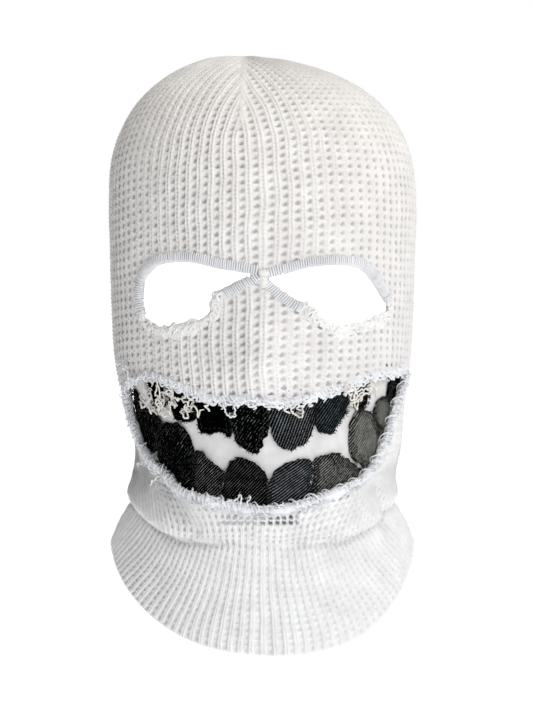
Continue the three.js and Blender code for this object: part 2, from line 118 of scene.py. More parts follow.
def section(a):
    """The cross-section at a, from 0 at the crown to 1 at the hem."""
    rows = np.vstack([SECTIONS[1] * MIRROR, SECTIONS, 2 * SECTIONS[-1] - SECTIONS[-2]])
    along = np.clip(a, 0, 1) * SPANS
    i = np.minimum(along.astype(int), SPANS - 1)
    t = (along - i)[..., None]
    return catmull(*(rows[i + k] for k in range(4)), t)


def crease_height(degrees):
    return -248 + 14 * smooth(30, 80, degrees)


def chin_folds(degrees, z):
    """How deep the folds beside the chin are."""
    here = np.stack([degrees * MM_PER_DEGREE, z], -1)
    depth = 0
    for start, end, deep in CHIN_FOLDS:
        start, end = (np.array([p[0] * MM_PER_DEGREE, p[1]]) for p in (start, end))
        t = np.clip((here - start) @ (end - start) / ((end - start) @ (end - start)), 0, 1)
        distance = np.linalg.norm(here - start - t[..., None] * (end - start), axis=-1)
        depth = depth + deep * np.exp(-((distance / FOLD_REACH) ** 2))
    return depth


def outer(theta, a):
    """Points on the outer face of the knit: CAD's, with the front seam turned and the chin folded."""
    theta, a = np.broadcast_arrays(np.asarray(theta, float), np.asarray(a, float))
    z_front, z_side, z_back, width, front, back, centre = np.moveaxis(section(a), -1, 0)
    s, c = np.sin(theta), np.cos(theta)
    rounded = np.hypot(c, HEM_ROUNDING) - HEM_ROUNDING
    most = math.hypot(1, HEM_ROUNDING) - HEM_ROUNDING
    sweep = 1 - np.maximum(1 - rounded / most, 0) ** HEM_SWEEP
    z = z_side + np.where(c > 0, z_front - z_side, z_back - z_side) * sweep
    x = centre + width * np.sign(s) * np.abs(s) ** SQUARENESS
    z = z - HEM_TILT * x * smooth(-252, -300, z)
    y = np.where(c > 0, -front, back) * np.abs(c) ** SQUARENESS
    signed = np.degrees((theta + np.pi) % (2 * np.pi) - np.pi)
    degrees = np.abs(signed)
    radius = np.hypot(x, y) + 1e-9
    lift = 2.2 + 4.3 * smooth(8, 38, degrees) - 3.5 * smooth(60, 110, degrees)
    above = z - crease_height(degrees)
    up = np.maximum(above, 0)
    hang = up / 9 * np.exp(1 - up / 9)
    tuck = np.where(above > 0, np.exp(-up / 3), np.exp(np.minimum(above, 0) / 7))
    turned = (signed - SEAM_TURN) % 90
    from_seam = np.minimum(turned, 90 - turned)
    deep = np.where(np.abs(signed - SEAM_TURN) < 45, 2.5, 1.2)
    furrow = -deep * np.exp(-((from_seam / 9) ** 2)) * smooth(-41, -7, z) * smooth(0, 12, radius)
    furrow = furrow * smooth(6, 26, np.hypot(x - APEX_X, y))
    push = lift * (hang - 0.45 * tuck) + furrow - chin_folds(signed, z)
    rise = smooth(-111, -149, z) * (1 - smooth(-152, -177, z))
    nose = NOSE_PROUD * rise * np.exp(-((x / 15) ** 2)) * smooth(0, 40, -y)
    return np.stack([
        x + x / radius * push,
        y + y / radius * push - nose,
        z - 0.5 * lift * hang,
    ], -1)


def unit(v):
    return v / np.maximum(np.linalg.norm(v, axis=-1, keepdims=True), 1e-12)


def outward(theta, a):
    step = 1e-3
    around = outer(theta + step, a) - outer(theta - step, a)
    down = outer(theta, np.minimum(a + step, 1)) - outer(theta, np.maximum(a - step, 1e-4))
    normal = unit(np.cross(down, around))
    # The apex stands off the axis and is nearly flat.
    here = outer(theta, a)
    flat_top = smooth(14, 5, np.hypot(here[..., 0] - APEX_X, here[..., 1])) * (here[..., 2] > -20)
    return unit(normal * (1 - flat_top[..., None]) + np.array([0, 0, 1]) * flat_top[..., None])


def row_at(theta, height):
    """Where along the sections the knit reaches a height, by halving."""
    low, high = np.zeros_like(height), np.ones_like(height)
    for _ in range(22):
        middle = (low + high) / 2
        under = outer(theta, middle)[..., 2] > height
        low, high = np.where(under, middle, low), np.where(under, high, middle)
    return (low + high) / 2


def place(flat, out=0.0):
    """Flat places as points in the frame that stand out from the knit's outer face."""
    flat = np.asarray(flat, float)
    theta = np.radians(flat[..., 0] / MM_PER_DEGREE)
    a = row_at(theta, flat[..., 1])
    return outer(theta, a) + outward(theta, a) * np.asarray(out, float)[..., None]


# -------- outlines

def flat_of(places):
    return np.array(places, float) * [MM_PER_DEGREE, 1]


def spaced(line, step, closed=False):
    """A smooth line through points, resampled at even steps."""
    line = np.asarray(line, float)
    if closed:
        line = np.vstack([line[-1:], line, line[:2]])
    else:
        line = np.vstack([2 * line[0] - line[1], line, 2 * line[-1] - line[-2]])
    t = np.linspace(0, 1, 24, endpoint=False)[:, None]
    spans = [catmull(*points, t) for points in zip(line, line[1:], line[2:], line[3:])]
    fine = np.vstack([*spans, line[-2][None]])
    run = np.concatenate([[0], np.cumsum(np.linalg.norm(np.diff(fine, axis=0), axis=1))])
    count = max(int(round(run[-1] / step)), 2)
    at = np.linspace(0, run[-1], count + 1)
    if closed:
        at = at[:-1]
    return np.stack([np.interp(at, run, fine[:, k]) for k in range(fine.shape[1])], -1)


def area_of(ring):
    x, y = ring.T
    return 0.5 * np.sum(x * np.roll(y, -1) - y * np.roll(x, -1))


def right_of(vectors):
    """Flat vectors turned a quarter clockwise."""
    return np.stack([vectors[:, 1], -vectors[:, 0]], -1)


def away(ring, closed=True):
    """Unit vectors in the plane that point out of a ring."""
    if closed:
        along = unit(np.roll(ring, -1, 0) - np.roll(ring, 1, 0))
    else:
        along = unit(np.gradient(ring, axis=0))
    side = right_of(along)
    return side if not closed or area_of(ring) > 0 else -side


def grow(ring, distance):
    return ring + away(ring) * distance


def within(points, ring):
    """Which flat points lie inside a ring."""
    near = ((points > ring.min(0)) & (points < ring.max(0))).all(-1)
    if near.sum() < near.size:
        found = np.zeros(near.shape, bool)
        found[near] = within(points[near], ring) if near.any() else False
        return found
    x, y = points[..., 0], points[..., 1]
    inside = np.zeros(x.shape, bool)
    for (px, py), (qx, qy) in zip(ring, np.roll(ring, -1, 0)):
        if py == qy:
            continue
        crosses = ((py > y) != (qy > y)) & (x < px + (y - py) / (qy - py) * (qx - px))
        inside ^= crosses
    return inside


def nearest(ring, point):
    return int(np.argmin(np.linalg.norm(ring - np.asarray(point), axis=1)))


def stretch(ring, start, end):
    """The part of a ring from near one point to near another, with its outward vectors."""
    first, last = nearest(ring, start), nearest(ring, end)
    count = (last - first) % len(ring) + 1
    index = (first + np.arange(count)) % len(ring)
    return ring[index], away(ring)[index]


EYES = {
    "right": {
        "hole": [
            [-5, -112], [-14, -108.5], [-26, -105.5], [-38.5, -107], [-44.5, -111.5], [-48.5, -117],
            [-49, -128], [-46, -136], [-39, -139], [-29.5, -137.5], [-18, -132.5], [-14.5, -120.5],
        ],
        "bridge": [-5, -112],
        "outer_end": [-49, -133],
        "inner_end": [-14.5, -120.5],
    },
    "left": {
        "hole": [
            [3, -114], [9.5, -110], [17, -107.5], [27.5, -107], [35, -108.5], [40, -112.5],
            [46, -120], [50.5, -126.5], [51, -132.5], [38.5, -136.5], [27, -138.5], [19, -133.5],
            [14, -126.5], [9.5, -123],
        ],
        "bridge": [3, -114],
        "outer_end": [50.5, -126.5],
        "inner_end": [14, -126.5],
    },
}
RIGHT_CORNER, LEFT_CORNER = flat_of([[-65, -173], [69, -165]])
MOUTH = [
    [-65, -173], [-52.5, -167], [-42, -166], [-25, -172.5], [-20, -175.5], [-7, -175],
    [1, -176], [11, -176], [21.5, -172], [32.5, -169], [43.5, -165], [58, -164.5],
    [69, -165], [61.5, -179.5], [51, -201.5], [43, -214], [22, -221.5], [8, -226],
    [-2.5, -226.5], [-21, -222.5], [-37.5, -218.5], [-59, -205], [-68, -191.5],
]
UPPER_TEETH = [
    [[-50, -163], [-41.5, -163], [-42.5, -173], [-43, -179.5], [-47.5, -181], [-49.5, -175.5]],
    [[-38.5, -163], [-26.5, -165], [-25.5, -178.5], [-28.5, -185], [-32, -186.5], [-36, -186],
     [-39, -184], [-39.5, -174]],
    [[-25, -168], [-12.5, -170], [-12.5, -184], [-13, -192], [-15, -193], [-17, -191],
     [-24.5, -191.5], [-27, -188]],
    [[-11, -170], [0.5, -171], [1, -188.5], [-1, -194], [-3, -200], [-6, -200.5],
     [-10, -197.5], [-12.2, -192.5]],
    [[2, -171], [17.5, -170], [18.8, -182], [18, -188.5], [15, -195], [9, -199],
     [3.5, -196.5], [1.5, -189.5]],
    [[20, -168], [29, -165.5], [33.5, -173], [34, -179], [30.5, -185.5], [27, -190.8],
     [23, -191], [19.3, -188]],
    [[35.5, -165], [43, -165], [44.5, -175.5], [43, -179.5], [38.5, -180.5], [35.5, -175]],
    [[48, -160], [58, -160], [57.5, -165], [52.5, -166.5], [48.5, -164]],
]
LOWER_TEETH = [
    [[-66, -175], [-62, -175], [-59.5, -181], [-56, -183], [-51, -183], [-48.5, -187],
     [-49, -194], [-54, -202], [-64, -205], [-71, -192]],
    [[-47.5, -190], [-42.5, -188.5], [-37.5, -188], [-33.5, -193], [-32.3, -202], [-32, -212],
     [-34, -224], [-47, -216], [-56, -205]],
    [[-31.5, -202.5], [-28.5, -201], [-25, -205], [-18, -210.5], [-17.5, -217],
     [-18, -229], [-31, -226], [-31.5, -214]],
    [[-16.5, -210.5], [-14.5, -205], [-10, -203.5], [-5.5, -205], [-1, -210.5], [0.8, -215.5],
     [1, -232], [-16, -231], [-17, -220]],
    [[1.8, -214.5], [5, -207.5], [9.5, -204.8], [15, -204], [17.5, -206.5], [19.3, -215],
     [19.5, -229], [2, -232]],
    [[18.3, -206.5], [20, -203.5], [27, -201.8], [33, -204.5], [38.5, -208], [45.5, -213.5],
     [44, -221], [32, -226], [20.8, -228], [20.4, -214]],
    [[37, -204.5], [35, -193.5], [37.5, -183], [42.5, -181], [48.5, -184.5], [53.5, -194],
     [54, -203], [49, -213], [45, -210.5]],
    [[50, -185], [51.5, -178], [56.5, -175.3], [60, -178.5], [64, -184], [62, -194],
     [56, -200], [54.8, -193]],
    [[60.5, -177.5], [60, -169.5], [66, -164.5], [72, -163], [72, -172], [66, -182]],
]
LOOSE_YARNS = {
    "mouth_yarn_corner": [[-50, -168], [-46, -174], [-53, -177], [-47, -180.5], [-43, -183]],
    "mouth_yarn_loops": [
        [-42, -168], [-39, -175], [-43, -180], [-36, -181], [-33, -173], [-37, -170],
    ],
    "mouth_yarn_knot": [[-31, -172], [-26, -176], [-31, -181], [-25, -180], [-22, -181]],
    "mouth_yarn_hook": [[-13, -174], [-12.5, -181], [-10, -182], [-9, -174]],
    "mouth_yarn_vee": [[6, -173], [11, -182], [14, -174]],
    "mouth_yarn_curl": [[28, -168], [33, -172], [34, -178], [37, -173], [41, -169], [46, -172]],
    "cheek_yarn": [[-67, -158], [-60, -161], [-58, -166], [-65, -171], [-69, -165]],
    "chin_yarn": [[-11, -228], [-9, -222], [-6.5, -227], [-4.5, -221]],
    "jaw_yarn": [[-68, -213], [-58.5, -209], [-54, -213], [-49, -215], [-54, -221]],
}
# How many strands each tangled yarn has. The others are single and nearly straight.
STRANDS = {"mouth_yarn_corner": 1, "mouth_yarn_loops": 2, "mouth_yarn_knot": 1, "mouth_yarn_curl": 2}
CREAM_YARNS = [*STRANDS, "mouth_yarn_vee"]
CLOTH = {
    "upper": ["jet", "jet", "jet", "black", "flecked", "blue", "black", "black"],
    "lower": ["black", "black", "twill", "dim", "flecked", "dusty", "faded", "faded", "black"],
}
STITCHED = {"upper": [2, 3, 4, 5, 6], "lower": [2, 3, 4, 5, 6, 7]}

mouth_ring = spaced(flat_of(MOUTH), 1.0, closed=True)
eye_rings = {side: spaced(flat_of(eye["hole"]), 1.0, closed=True) for side, eye in EYES.items()}


# -------- materials

def feed(tree, socket, value):
    """Gives a socket another socket's value, a colour or a number."""
    if isinstance(value, bpy.types.NodeSocket):
        tree.links.new(value, socket)
    else:
        socket.default_value = (*value, 1) if isinstance(value, tuple) else value


def node(tree, kind, **values):
    """A new node. Each value goes to the property or the input socket of that name."""
    made = tree.nodes.new("ShaderNode" + kind)
    for key, value in values.items():
        if hasattr(made, key):
            setattr(made, key, value)
        else:
            feed(tree, made.inputs[key.replace("_", " ")], value)
    return made


def principled(name, colour, roughness):
    material = bpy.data.materials.new(name)
    material.use_nodes = True
    tree = material.node_tree
    shader = tree.nodes["Principled BSDF"].inputs
    feed(tree, shader["Base Color"], colour)
    feed(tree, shader["Roughness"], roughness)
    return material, tree, shader


def ramp(tree, source, stops):
    made = node(tree, "ValToRGB", Fac=source)
    elements = made.color_ramp.elements
    while len(elements) < len(stops):
        elements.new(0.5)
    for element, (at, colour) in zip(elements, stops):
        element.position = at
        element.color = (*colour, 1)
    return made.outputs["Color"]


def spread(tree, source, low, high, to_low=0.0, to_high=1.0):
    """A value carried from the range low..high to another."""
    made = node(tree, "MapRange", Value=source, From_Min=low, From_Max=high, To_Min=to_low, To_Max=to_high)
    return made.outputs["Result"]


def noise(tree, scale, detail, **values):
    """Noise over an object's own coordinates."""
    coords = node(tree, "TexCoord").outputs["Object"]
    return node(tree, "TexNoise", Vector=coords, Scale=scale, Detail=detail, **values).outputs["Fac"]


def maths(tree, operation, *values):
    made = node(tree, "Math", operation=operation)
    for socket, value in zip(made.inputs, values):
        feed(tree, socket, value)
    return made.outputs[0]


def mixed(tree, share, first, second, blend="MIX"):
    """Two colours mixed. The colour sockets of a mix node are its inputs 6 and 7 and output 2."""
    made = node(tree, "Mix", data_type="RGBA", blend_type=blend)
    for socket, value in ((0, share), (6, first), (7, second)):
        feed(tree, made.inputs[socket], value)
    return made.outputs[2]


def emboss(tree, shader, height, strength, distance):
    bump = node(tree, "Bump", Height=height, Strength=strength, Distance=distance)
    feed(tree, shader["Normal"], bump.outputs["Normal"])


def yarn_material(name, dark, light, fibre_scale=2600.0, strength=0.5, sheen=0.25):
    """Soft spun yarn: a mottled colour with fine fibres standing in its surface."""
    material, tree, shader = principled(name, light, 0.95)
    blotch = noise(tree, 90.0, 5.0)
    feed(tree, shader["Base Color"], ramp(tree, blotch, [(0.3, dark), (0.7, light)]))
    emboss(tree, shader, noise(tree, fibre_scale, 3.0, Distortion=1.5), strength, 0.0003)
    feed(tree, shader["Sheen Weight"], sheen)
    feed(tree, shader["Sheen Roughness"], 0.6)
    return material


# Painted light on the knit from its lowest to its highest point: bright and cool below, dimmer and warm in
# the middle, warm above.
HOOD_PAINTED_LIGHT = [
    (0.0, (0.985, 0.995, 1.0)), (0.3, (0.99, 0.992, 1.0)), (0.48, (0.93, 0.915, 0.91)),
    (0.8, (0.945, 0.93, 0.915)), (1.0, (0.97, 0.955, 0.93)),
]


def hood_material(name):
    """The knit's yarn, with painted light that changes with height, and painted shade, a dark bluish grey, in
    its dimples and slots where little light gets in.
    """
    material = yarn_material(name, (0.83, 0.82, 0.815), (0.935, 0.93, 0.925))
    tree = material.node_tree
    colour = tree.nodes["Principled BSDF"].inputs["Base Color"]
    coords = node(tree, "TexCoord").outputs["Object"]
    height = node(tree, "SeparateXYZ", Vector=coords).outputs["Z"]
    # Painted light: the yarn's colour is multiplied by a tint that changes with height.
    painted_light = ramp(tree, spread(tree, height, -0.30, 0.0), HOOD_PAINTED_LIGHT)
    toned = mixed(tree, 1.0, colour.links[0].from_socket, painted_light, "MULTIPLY")
    # Painted shade: the colour goes towards a dark bluish grey as far as the stored attribute says.
    hollow_shade = node(tree, "Attribute", attribute_name="hollow_shade").outputs["Fac"]
    feed(tree, colour, mixed(tree, hollow_shade, toned, (0.16, 0.155, 0.18)))
    return material


def denim_material(name, weft, warp, worn, fade, sparse, salt):
    """Twill: light weft lines rise diagonally between dark warp yarns, worn pale in patches.

    The weave attribute is a place on the cloth and the distance from its edge."""
    material, tree, shader = principled(name, warp, 0.92)
    weave = node(tree, "Attribute", attribute_name="weave").outputs["Vector"]
    split = node(tree, "SeparateXYZ", Vector=weave).outputs

    def wave(x_rate, y_rate):
        along = maths(tree, "MULTIPLY", split["X"], x_rate)
        return maths(tree, "SINE", maths(tree, "MULTIPLY_ADD", split["Y"], y_rate, along))

    twill = maths(tree, "MULTIPLY_ADD", wave(2.0, 7.5), 0.35, wave(3.7, -2.4))
    lines = maths(tree, "MULTIPLY_ADD", noise(tree, 260.0, 6.0, Roughness=0.65), 1.5, twill)
    specks = noise(tree, 850.0, 2.0)
    broken = maths(tree, "MULTIPLY_ADD", specks, salt, lines)
    shown = spread(tree, broken, sparse + salt / 2, sparse + salt / 2 + 0.45)
    middle = spread(tree, split["Z"], 1.6, 4.2, 0.0, fade)
    uneven = maths(tree, "MULTIPLY", middle, spread(tree, specks, 0.34, 0.62, 0.15, 1.15))
    colour = mixed(tree, uneven, mixed(tree, shown, warp, weft), mixed(tree, shown, worn, weft))
    feed(tree, shader["Base Color"], colour)
    emboss(tree, shader, twill, 0.9, 0.0004)
    feed(tree, shader["Specular IOR Level"], 0.0)
    return material


def cotton_material(name):
    """Plain-woven cotton with a fine square weave."""
    material, tree, shader = principled(name, (0.8, 0.785, 0.785), 0.9)
    weave = node(tree, "Attribute", attribute_name="weave").outputs["Vector"]
    grid = node(tree, "TexChecker", Vector=weave, Scale=2.2).outputs["Fac"]
    stops = [(0.3, (0.68, 0.665, 0.665)), (0.7, (0.82, 0.81, 0.815))]
    feed(tree, shader["Base Color"], ramp(tree, noise(tree, 140.0, 8.0), stops))
    emboss(tree, shader, grid, 0.35, 0.0002)
    return material


# The fibre scale, bump strength and sheen of sewing thread.
THREAD = (1800.0, 0.25, 0.1)
hood_white = hood_material("hood_white")
knit_white = yarn_material("knit_white", (0.8, 0.795, 0.785), (0.9, 0.895, 0.885))
fluff_white = yarn_material("fluff_white", (0.8, 0.815, 0.85), (0.9, 0.91, 0.93))
binding_white = yarn_material("binding_white", (0.78, 0.785, 0.81), (0.88, 0.885, 0.905), *THREAD)
# Painted shade: the core under the binding's stitches is a darker bluish grey, for the shade between them;
# the bluish tone is the binding's own.
binding_core_shade = yarn_material("binding_core_shade", (0.5, 0.51, 0.56), (0.62, 0.63, 0.68), *THREAD)
cream_yarn = yarn_material("cream_yarn", (0.8, 0.765, 0.7), (0.9, 0.88, 0.84))
seam_white = yarn_material("seam_white", (0.78, 0.78, 0.78), (0.88, 0.88, 0.88), *THREAD)
# Weft, warp and worn colours, how far the middle is faded, how sparse the weft is, how flecked.
DENIMS = {name: denim_material(f"{name}_denim", *looks) for name, *looks in [
    ("jet", (0.02, 0.02, 0.022), (0.0007, 0.0007, 0.0008), (0.001, 0.001, 0.001), 0.2, 1.9, 2.6),
    ("black", (0.36, 0.37, 0.35), (0.0008, 0.0012, 0.0013), (0.003, 0.003, 0.003), 0.3, 1.95, 2.6),
    ("twill", (0.44, 0.445, 0.45), (0.001, 0.001, 0.0012), (0.004, 0.004, 0.004), 0.3, 1.56, 0.8),
    ("dim", (0.26, 0.265, 0.275), (0.0006, 0.0006, 0.0008), (0.003, 0.003, 0.003), 0.3, 1.68, 0.9),
    ("flecked", (0.25, 0.27, 0.29), (0.002, 0.0024, 0.003), (0.012, 0.014, 0.015), 0.5, 1.3, 1.5),
    ("blue", (0.1, 0.135, 0.15), (0.0015, 0.0022, 0.0026), (0.006, 0.009, 0.01), 0.4, 1.3, 2.2),
    ("dusty", (0.36, 0.36, 0.335), (0.004, 0.004, 0.004), (0.055, 0.056, 0.053), 0.9, 1.25, 2.4),
    ("faded", (0.46, 0.47, 0.425), (0.006, 0.006, 0.006), (0.1, 0.106, 0.095), 0.95, 1.15, 2.4),
]}
black_thread = yarn_material("black_thread", (0.002, 0.002, 0.0025), (0.012, 0.013, 0.015), 1800.0, 0.3, 0.0)
cotton_white = cotton_material("cotton_white")


# -------- meshes

def build(name, points, faces, material, slot, replaces=()):
    """A mesh from points in millimetres and faces that are all quads or all triangles."""
    faces = np.asarray(faces, np.int32)
    mesh = bpy.data.meshes.new(name)
    mesh.vertices.add(len(points))
    mesh.vertices.foreach_set("co", (np.asarray(points) * MM).astype(np.float32).ravel())
    mesh.loops.add(faces.size)
    mesh.loops.foreach_set("vertex_index", faces.ravel())
    mesh.polygons.add(len(faces))
    mesh.polygons.foreach_set("loop_start", np.arange(len(faces), dtype=np.int32) * faces.shape[1])
    mesh.polygons.foreach_set("use_smooth", np.ones(len(faces), bool))
    mesh.update(calc_edges=True)
    mesh.validate()
    mesh.materials.append(material)
    thing = bpy.data.objects.new(name, mesh)
    bpy.context.scene.collection.objects.link(thing)
    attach(thing, "root")
    if replaces:
        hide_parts(*replaces)
    return thing


THREAD_END = 0.55


def tubes(lines, radius, sides=6):
    """Points and quads of round threads along lines, an array (thread, step, 3), each thinner
    at its ends."""
    lines = np.asarray(lines, float)
    many, steps, _ = lines.shape
    along = unit(np.gradient(lines, axis=1))
    side = np.cross(along[:, 0], [0.31, 0.52, 0.79])
    sides_at = np.empty_like(lines)
    for k in range(steps):
        side = unit(side - along[:, k] * np.sum(side * along[:, k], -1, keepdims=True))
        sides_at[:, k] = side
    other = np.cross(along, sides_at)
    radius = np.broadcast_to(np.asarray(radius, float).reshape(-1, 1), (many, steps)).copy()
    radius[:, [0, -1]] *= THREAD_END
    turn = np.linspace(0, 2 * np.pi, sides, endpoint=False)
    ring = sides_at[:, :, None] * np.cos(turn)[:, None] + other[:, :, None] * np.sin(turn)[:, None]
    points = lines[:, :, None] + ring * radius[:, :, None, None]
    index = np.arange(many * steps * sides).reshape(many, steps, sides)
    a, b = index[:, :-1], index[:, 1:]
    quads = [np.stack([a, np.roll(a, -1, 2), np.roll(b, -1, 2), b], -1).reshape(-1, 4)]
    for end, flip in ((index[:, 0], True), (index[:, -1], False)):
        for k in range(sides // 2 - 1):
            cap = np.stack([end[:, k], end[:, k + 1], end[:, sides - 2 - k], end[:, sides - 1 - k]], -1)
            quads.append(cap[:, ::-1] if flip else cap)
    return points.reshape(-1, 3), np.vstack(quads)


def joined(parts):
    """Several lots of points and quads as one."""
    points, quads, base = [], [], 0
    for p, q in parts:
        points.append(p)
        quads.append(q + base)
        base += len(p)
    return np.vstack(points), np.vstack(quads)


def wander(many, steps, size, smoothing=2.0):
    """Smooth random offsets, (many, steps, 3)."""
    noise = rng.normal(size=(many, steps + 8, 3))
    kernel = np.exp(-0.5 * (np.arange(-4, 5) / smoothing) ** 2)
    kernel /= np.sqrt(np.sum(kernel**2))
    made = sum(k * noise[:, i:i + steps] for i, k in enumerate(kernel))
    return made * size


# -------- the knit

RIBS = 96
PER_RIB, ROW_STEP = ((14, 0.5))
COLUMNS = RIBS * PER_RIB
COURSE = 4.2
COLLAR_COURSE = 3.5
# The random sizes of dimples, by column and course.
TABLE_COLUMNS, TABLE_COURSES = RIBS * 3 + 7, 400
GORES_END = -42
SLOT_PITCH, SLOT_ROW, FIRST_SLOT_ROW = 3.8, 2.9, -233.9
SLOT_DEPTH, DEEPEST, GROOVE = 1.7, 2.3, 1.3
# How far beyond the outlines of the eyes and the mouth each face of the knit is cut.
OUTER_CUT, INNER_CUT = (3.6, 2.6), (3.2, 2.2)


def fan(height, degrees):
    """How the wales crowd: above 0 they stand wide at the front, below 0 they bunch there."""
    above = height - crease_height(degrees)
    chin = smooth(34, 2, above)
    collar = smooth(0, -52, above)
    return 0.13 - 0.68 * chin + 0.5 * collar


def hood_grid():
    """Angles and rows of a grid whose columns follow the wales below the crown."""
    fine = np.linspace(0, 1, 4001)
    lengths = [
        np.linalg.norm(np.diff(outer(np.full_like(fine, t), fine), axis=0), axis=1) for t in (0.0, 0.9, 2.6)
    ]
    run = np.concatenate([[0], np.cumsum(np.maximum.reduce(lengths))])
    rows = np.interp(np.linspace(0.8, run[-1] - 0.8, int(run[-1] / ROW_STEP)), run, fine)
    turn = (np.arange(COLUMNS) / COLUMNS * 2 * np.pi + np.pi) % (2 * np.pi) - np.pi
    start, a = np.meshgrid(turn, rows)
    theta = start.copy()
    for _ in range(3):
        base = outer(theta, a)
        w = fan(base[..., 2], np.degrees(np.abs(theta)))
        for _ in range(6):
            theta -= (theta - w * np.sin(theta) - start) / (1 - w * np.cos(theta))
    return theta, a, start


def knit_phase(theta, a, start, base):
    """Rib and course numbers over the grid. Above the forehead the wales run out into the
    seams between the gores."""
    height = base[..., 2]
    ribs = start / (2 * np.pi) * RIBS
    radius = np.hypot(base[..., 0] + 4, base[..., 1])
    full = radius[np.argmin(np.abs(height[:, 0] - GORES_END))][None]
    narrow = np.minimum(radius / full, 1) ** 0.5
    seam = math.radians(SEAM_TURN)
    gore = (np.floor((start - seam) / (np.pi / 2)) + 0.5) * (np.pi / 2) + seam
    in_gore = (gore + (start - gore) * narrow) / (2 * np.pi) * RIBS
    ribs = np.where(height > GORES_END, in_gore, ribs)
    step = np.linalg.norm(np.diff(base, axis=0), axis=-1)
    run = np.concatenate([np.zeros((1, base.shape[1])), np.cumsum(step, axis=0)])
    above = height - crease_height(np.degrees(np.abs(theta)))
    courses = np.where(above > 0, run / COURSE, (run - run[-1:]) / COLLAR_COURSE)
    ribs = ribs + 0.05 * np.sin(height / 9 + 5 * theta) + 0.03 * np.sin(height / 3.7 - 11 * theta)
    courses = courses + 0.1 * np.sin(9 * theta + height / 23)
    return ribs, courses


def knit_depth(ribs, courses, theta, base):
    """How far each point of the knit lies below the hood's outer face.

    A unit is a column of deep dimples between loops, then a pair of thin chains with small
    holes between them."""
    column = np.floor(ribs).astype(int)
    across = ribs - column - 0.5
    size = 0.5 - np.abs(across)
    sizes = rng.uniform(0.78, 1.12, (TABLE_COLUMNS, TABLE_COURSES))
    shifts = rng.uniform(-0.04, 0.04, TABLE_COLUMNS)
    leans = rng.uniform(-0.035, 0.035, (TABLE_COLUMNS, TABLE_COURSES))
    entry = column % TABLE_COLUMNS
    course = courses + shifts[entry]
    p = course % 1
    loop_index = np.floor(course).astype(int) % TABLE_COURSES
    cell, tip = sizes[entry, loop_index], leans[entry, loop_index]
    degrees = np.degrees(np.abs(theta))
    collar = smooth(2, -6, base[..., 2] - crease_height(degrees))
    collar = np.maximum(collar, 0.8 * smooth(-212, -234, base[..., 2]))
    near = np.abs(across)
    depth = 0.3 + (0.55 + 0.5 * collar) * smooth(0.36, 0.22, near)
    flank = smooth(35, 70, degrees) * (1 - collar)
    # The dimple, wider where the knit is stretched, and the loop that bulges into its corner.
    reach = np.hypot((across - tip - 0.02) / (0.27 + 0.09 * flank), (p - 0.56) / (0.37 + 0.03 * flank))
    dimple = smooth(1.1, 0.4, reach)
    bead = np.exp(-(((across - tip + 0.07) / 0.11) ** 2) - (((p - 0.42) / 0.17) ** 2))
    depth = depth + (1 - 0.62 * collar) * (1.4 * dimple * cell - 1.0 * bead)
    # The loop that closes each dimple above and below.
    rung = np.exp(-((((p + 0.5) % 1 - 0.5) / 0.11) ** 2)) * smooth(0.3, 0.12, near)
    depth = depth - 0.45 * rung
    # Paired chains, and the pin holes between them.
    beads = 0.55 + 0.45 * np.cos(4 * np.pi * courses + 9 * size)
    depth = depth - 0.45 * np.exp(-(((size - 0.155) / 0.05) ** 2)) * beads
    pin = np.exp(-((size / 0.08) ** 2)) * (0.5 + 0.5 * np.cos(4 * np.pi * courses)) ** 2.2
    depth = depth + 0.08 * np.exp(-((size / 0.07) ** 2))
    return depth + 1.3 * pin * (0.4 + 0.6 * cell) * (1 - 0.5 * collar)


def ladder(flat):
    """Slots where the knit has laddered below the mouth, from 0 to 1."""
    x, height = flat[..., 0], flat[..., 1]
    span = smooth(-26, -20, x) * smooth(22, 16, x) * (0.45 + 0.55 * smooth(-3, 3, x))
    slot = smooth(-0.5, 0.0, np.cos(2 * np.pi * x / SLOT_PITCH))
    slot = slot * smooth(-0.4, 0.1, np.cos(2 * np.pi * (height - FIRST_SLOT_ROW) / SLOT_ROW))
    return span * slot * smooth(-238.7, -237.8, height) * smooth(-231.5, -232.4, height)


def grid_quads(rows, columns, wrap):
    """Quads over a grid of points, closed round if wrap."""
    index = np.arange(rows * columns).reshape(rows, columns)
    right = np.roll(index, -1, 1) if wrap else index[:, 1:]
    left = index if wrap else index[:, :-1]
    return np.stack([left[:-1], left[1:], right[1:], right[:-1]], -1).reshape(-1, 4)


def holes_in(flat, eye_margin, mouth_margin):
    """Which flat places lie in an eye hole or the mouth."""
    cut = within(flat, grow(mouth_ring, mouth_margin))
    for ring in eye_rings.values():
        cut |= within(flat, grow(ring, eye_margin))
    return cut


def kept(points, quads):
    """Points that some quad uses, and the quads renumbered to them."""
    used = np.zeros(len(points), bool)
    used[quads] = True
    number = np.cumsum(used) - 1
    return points[used], number[quads]


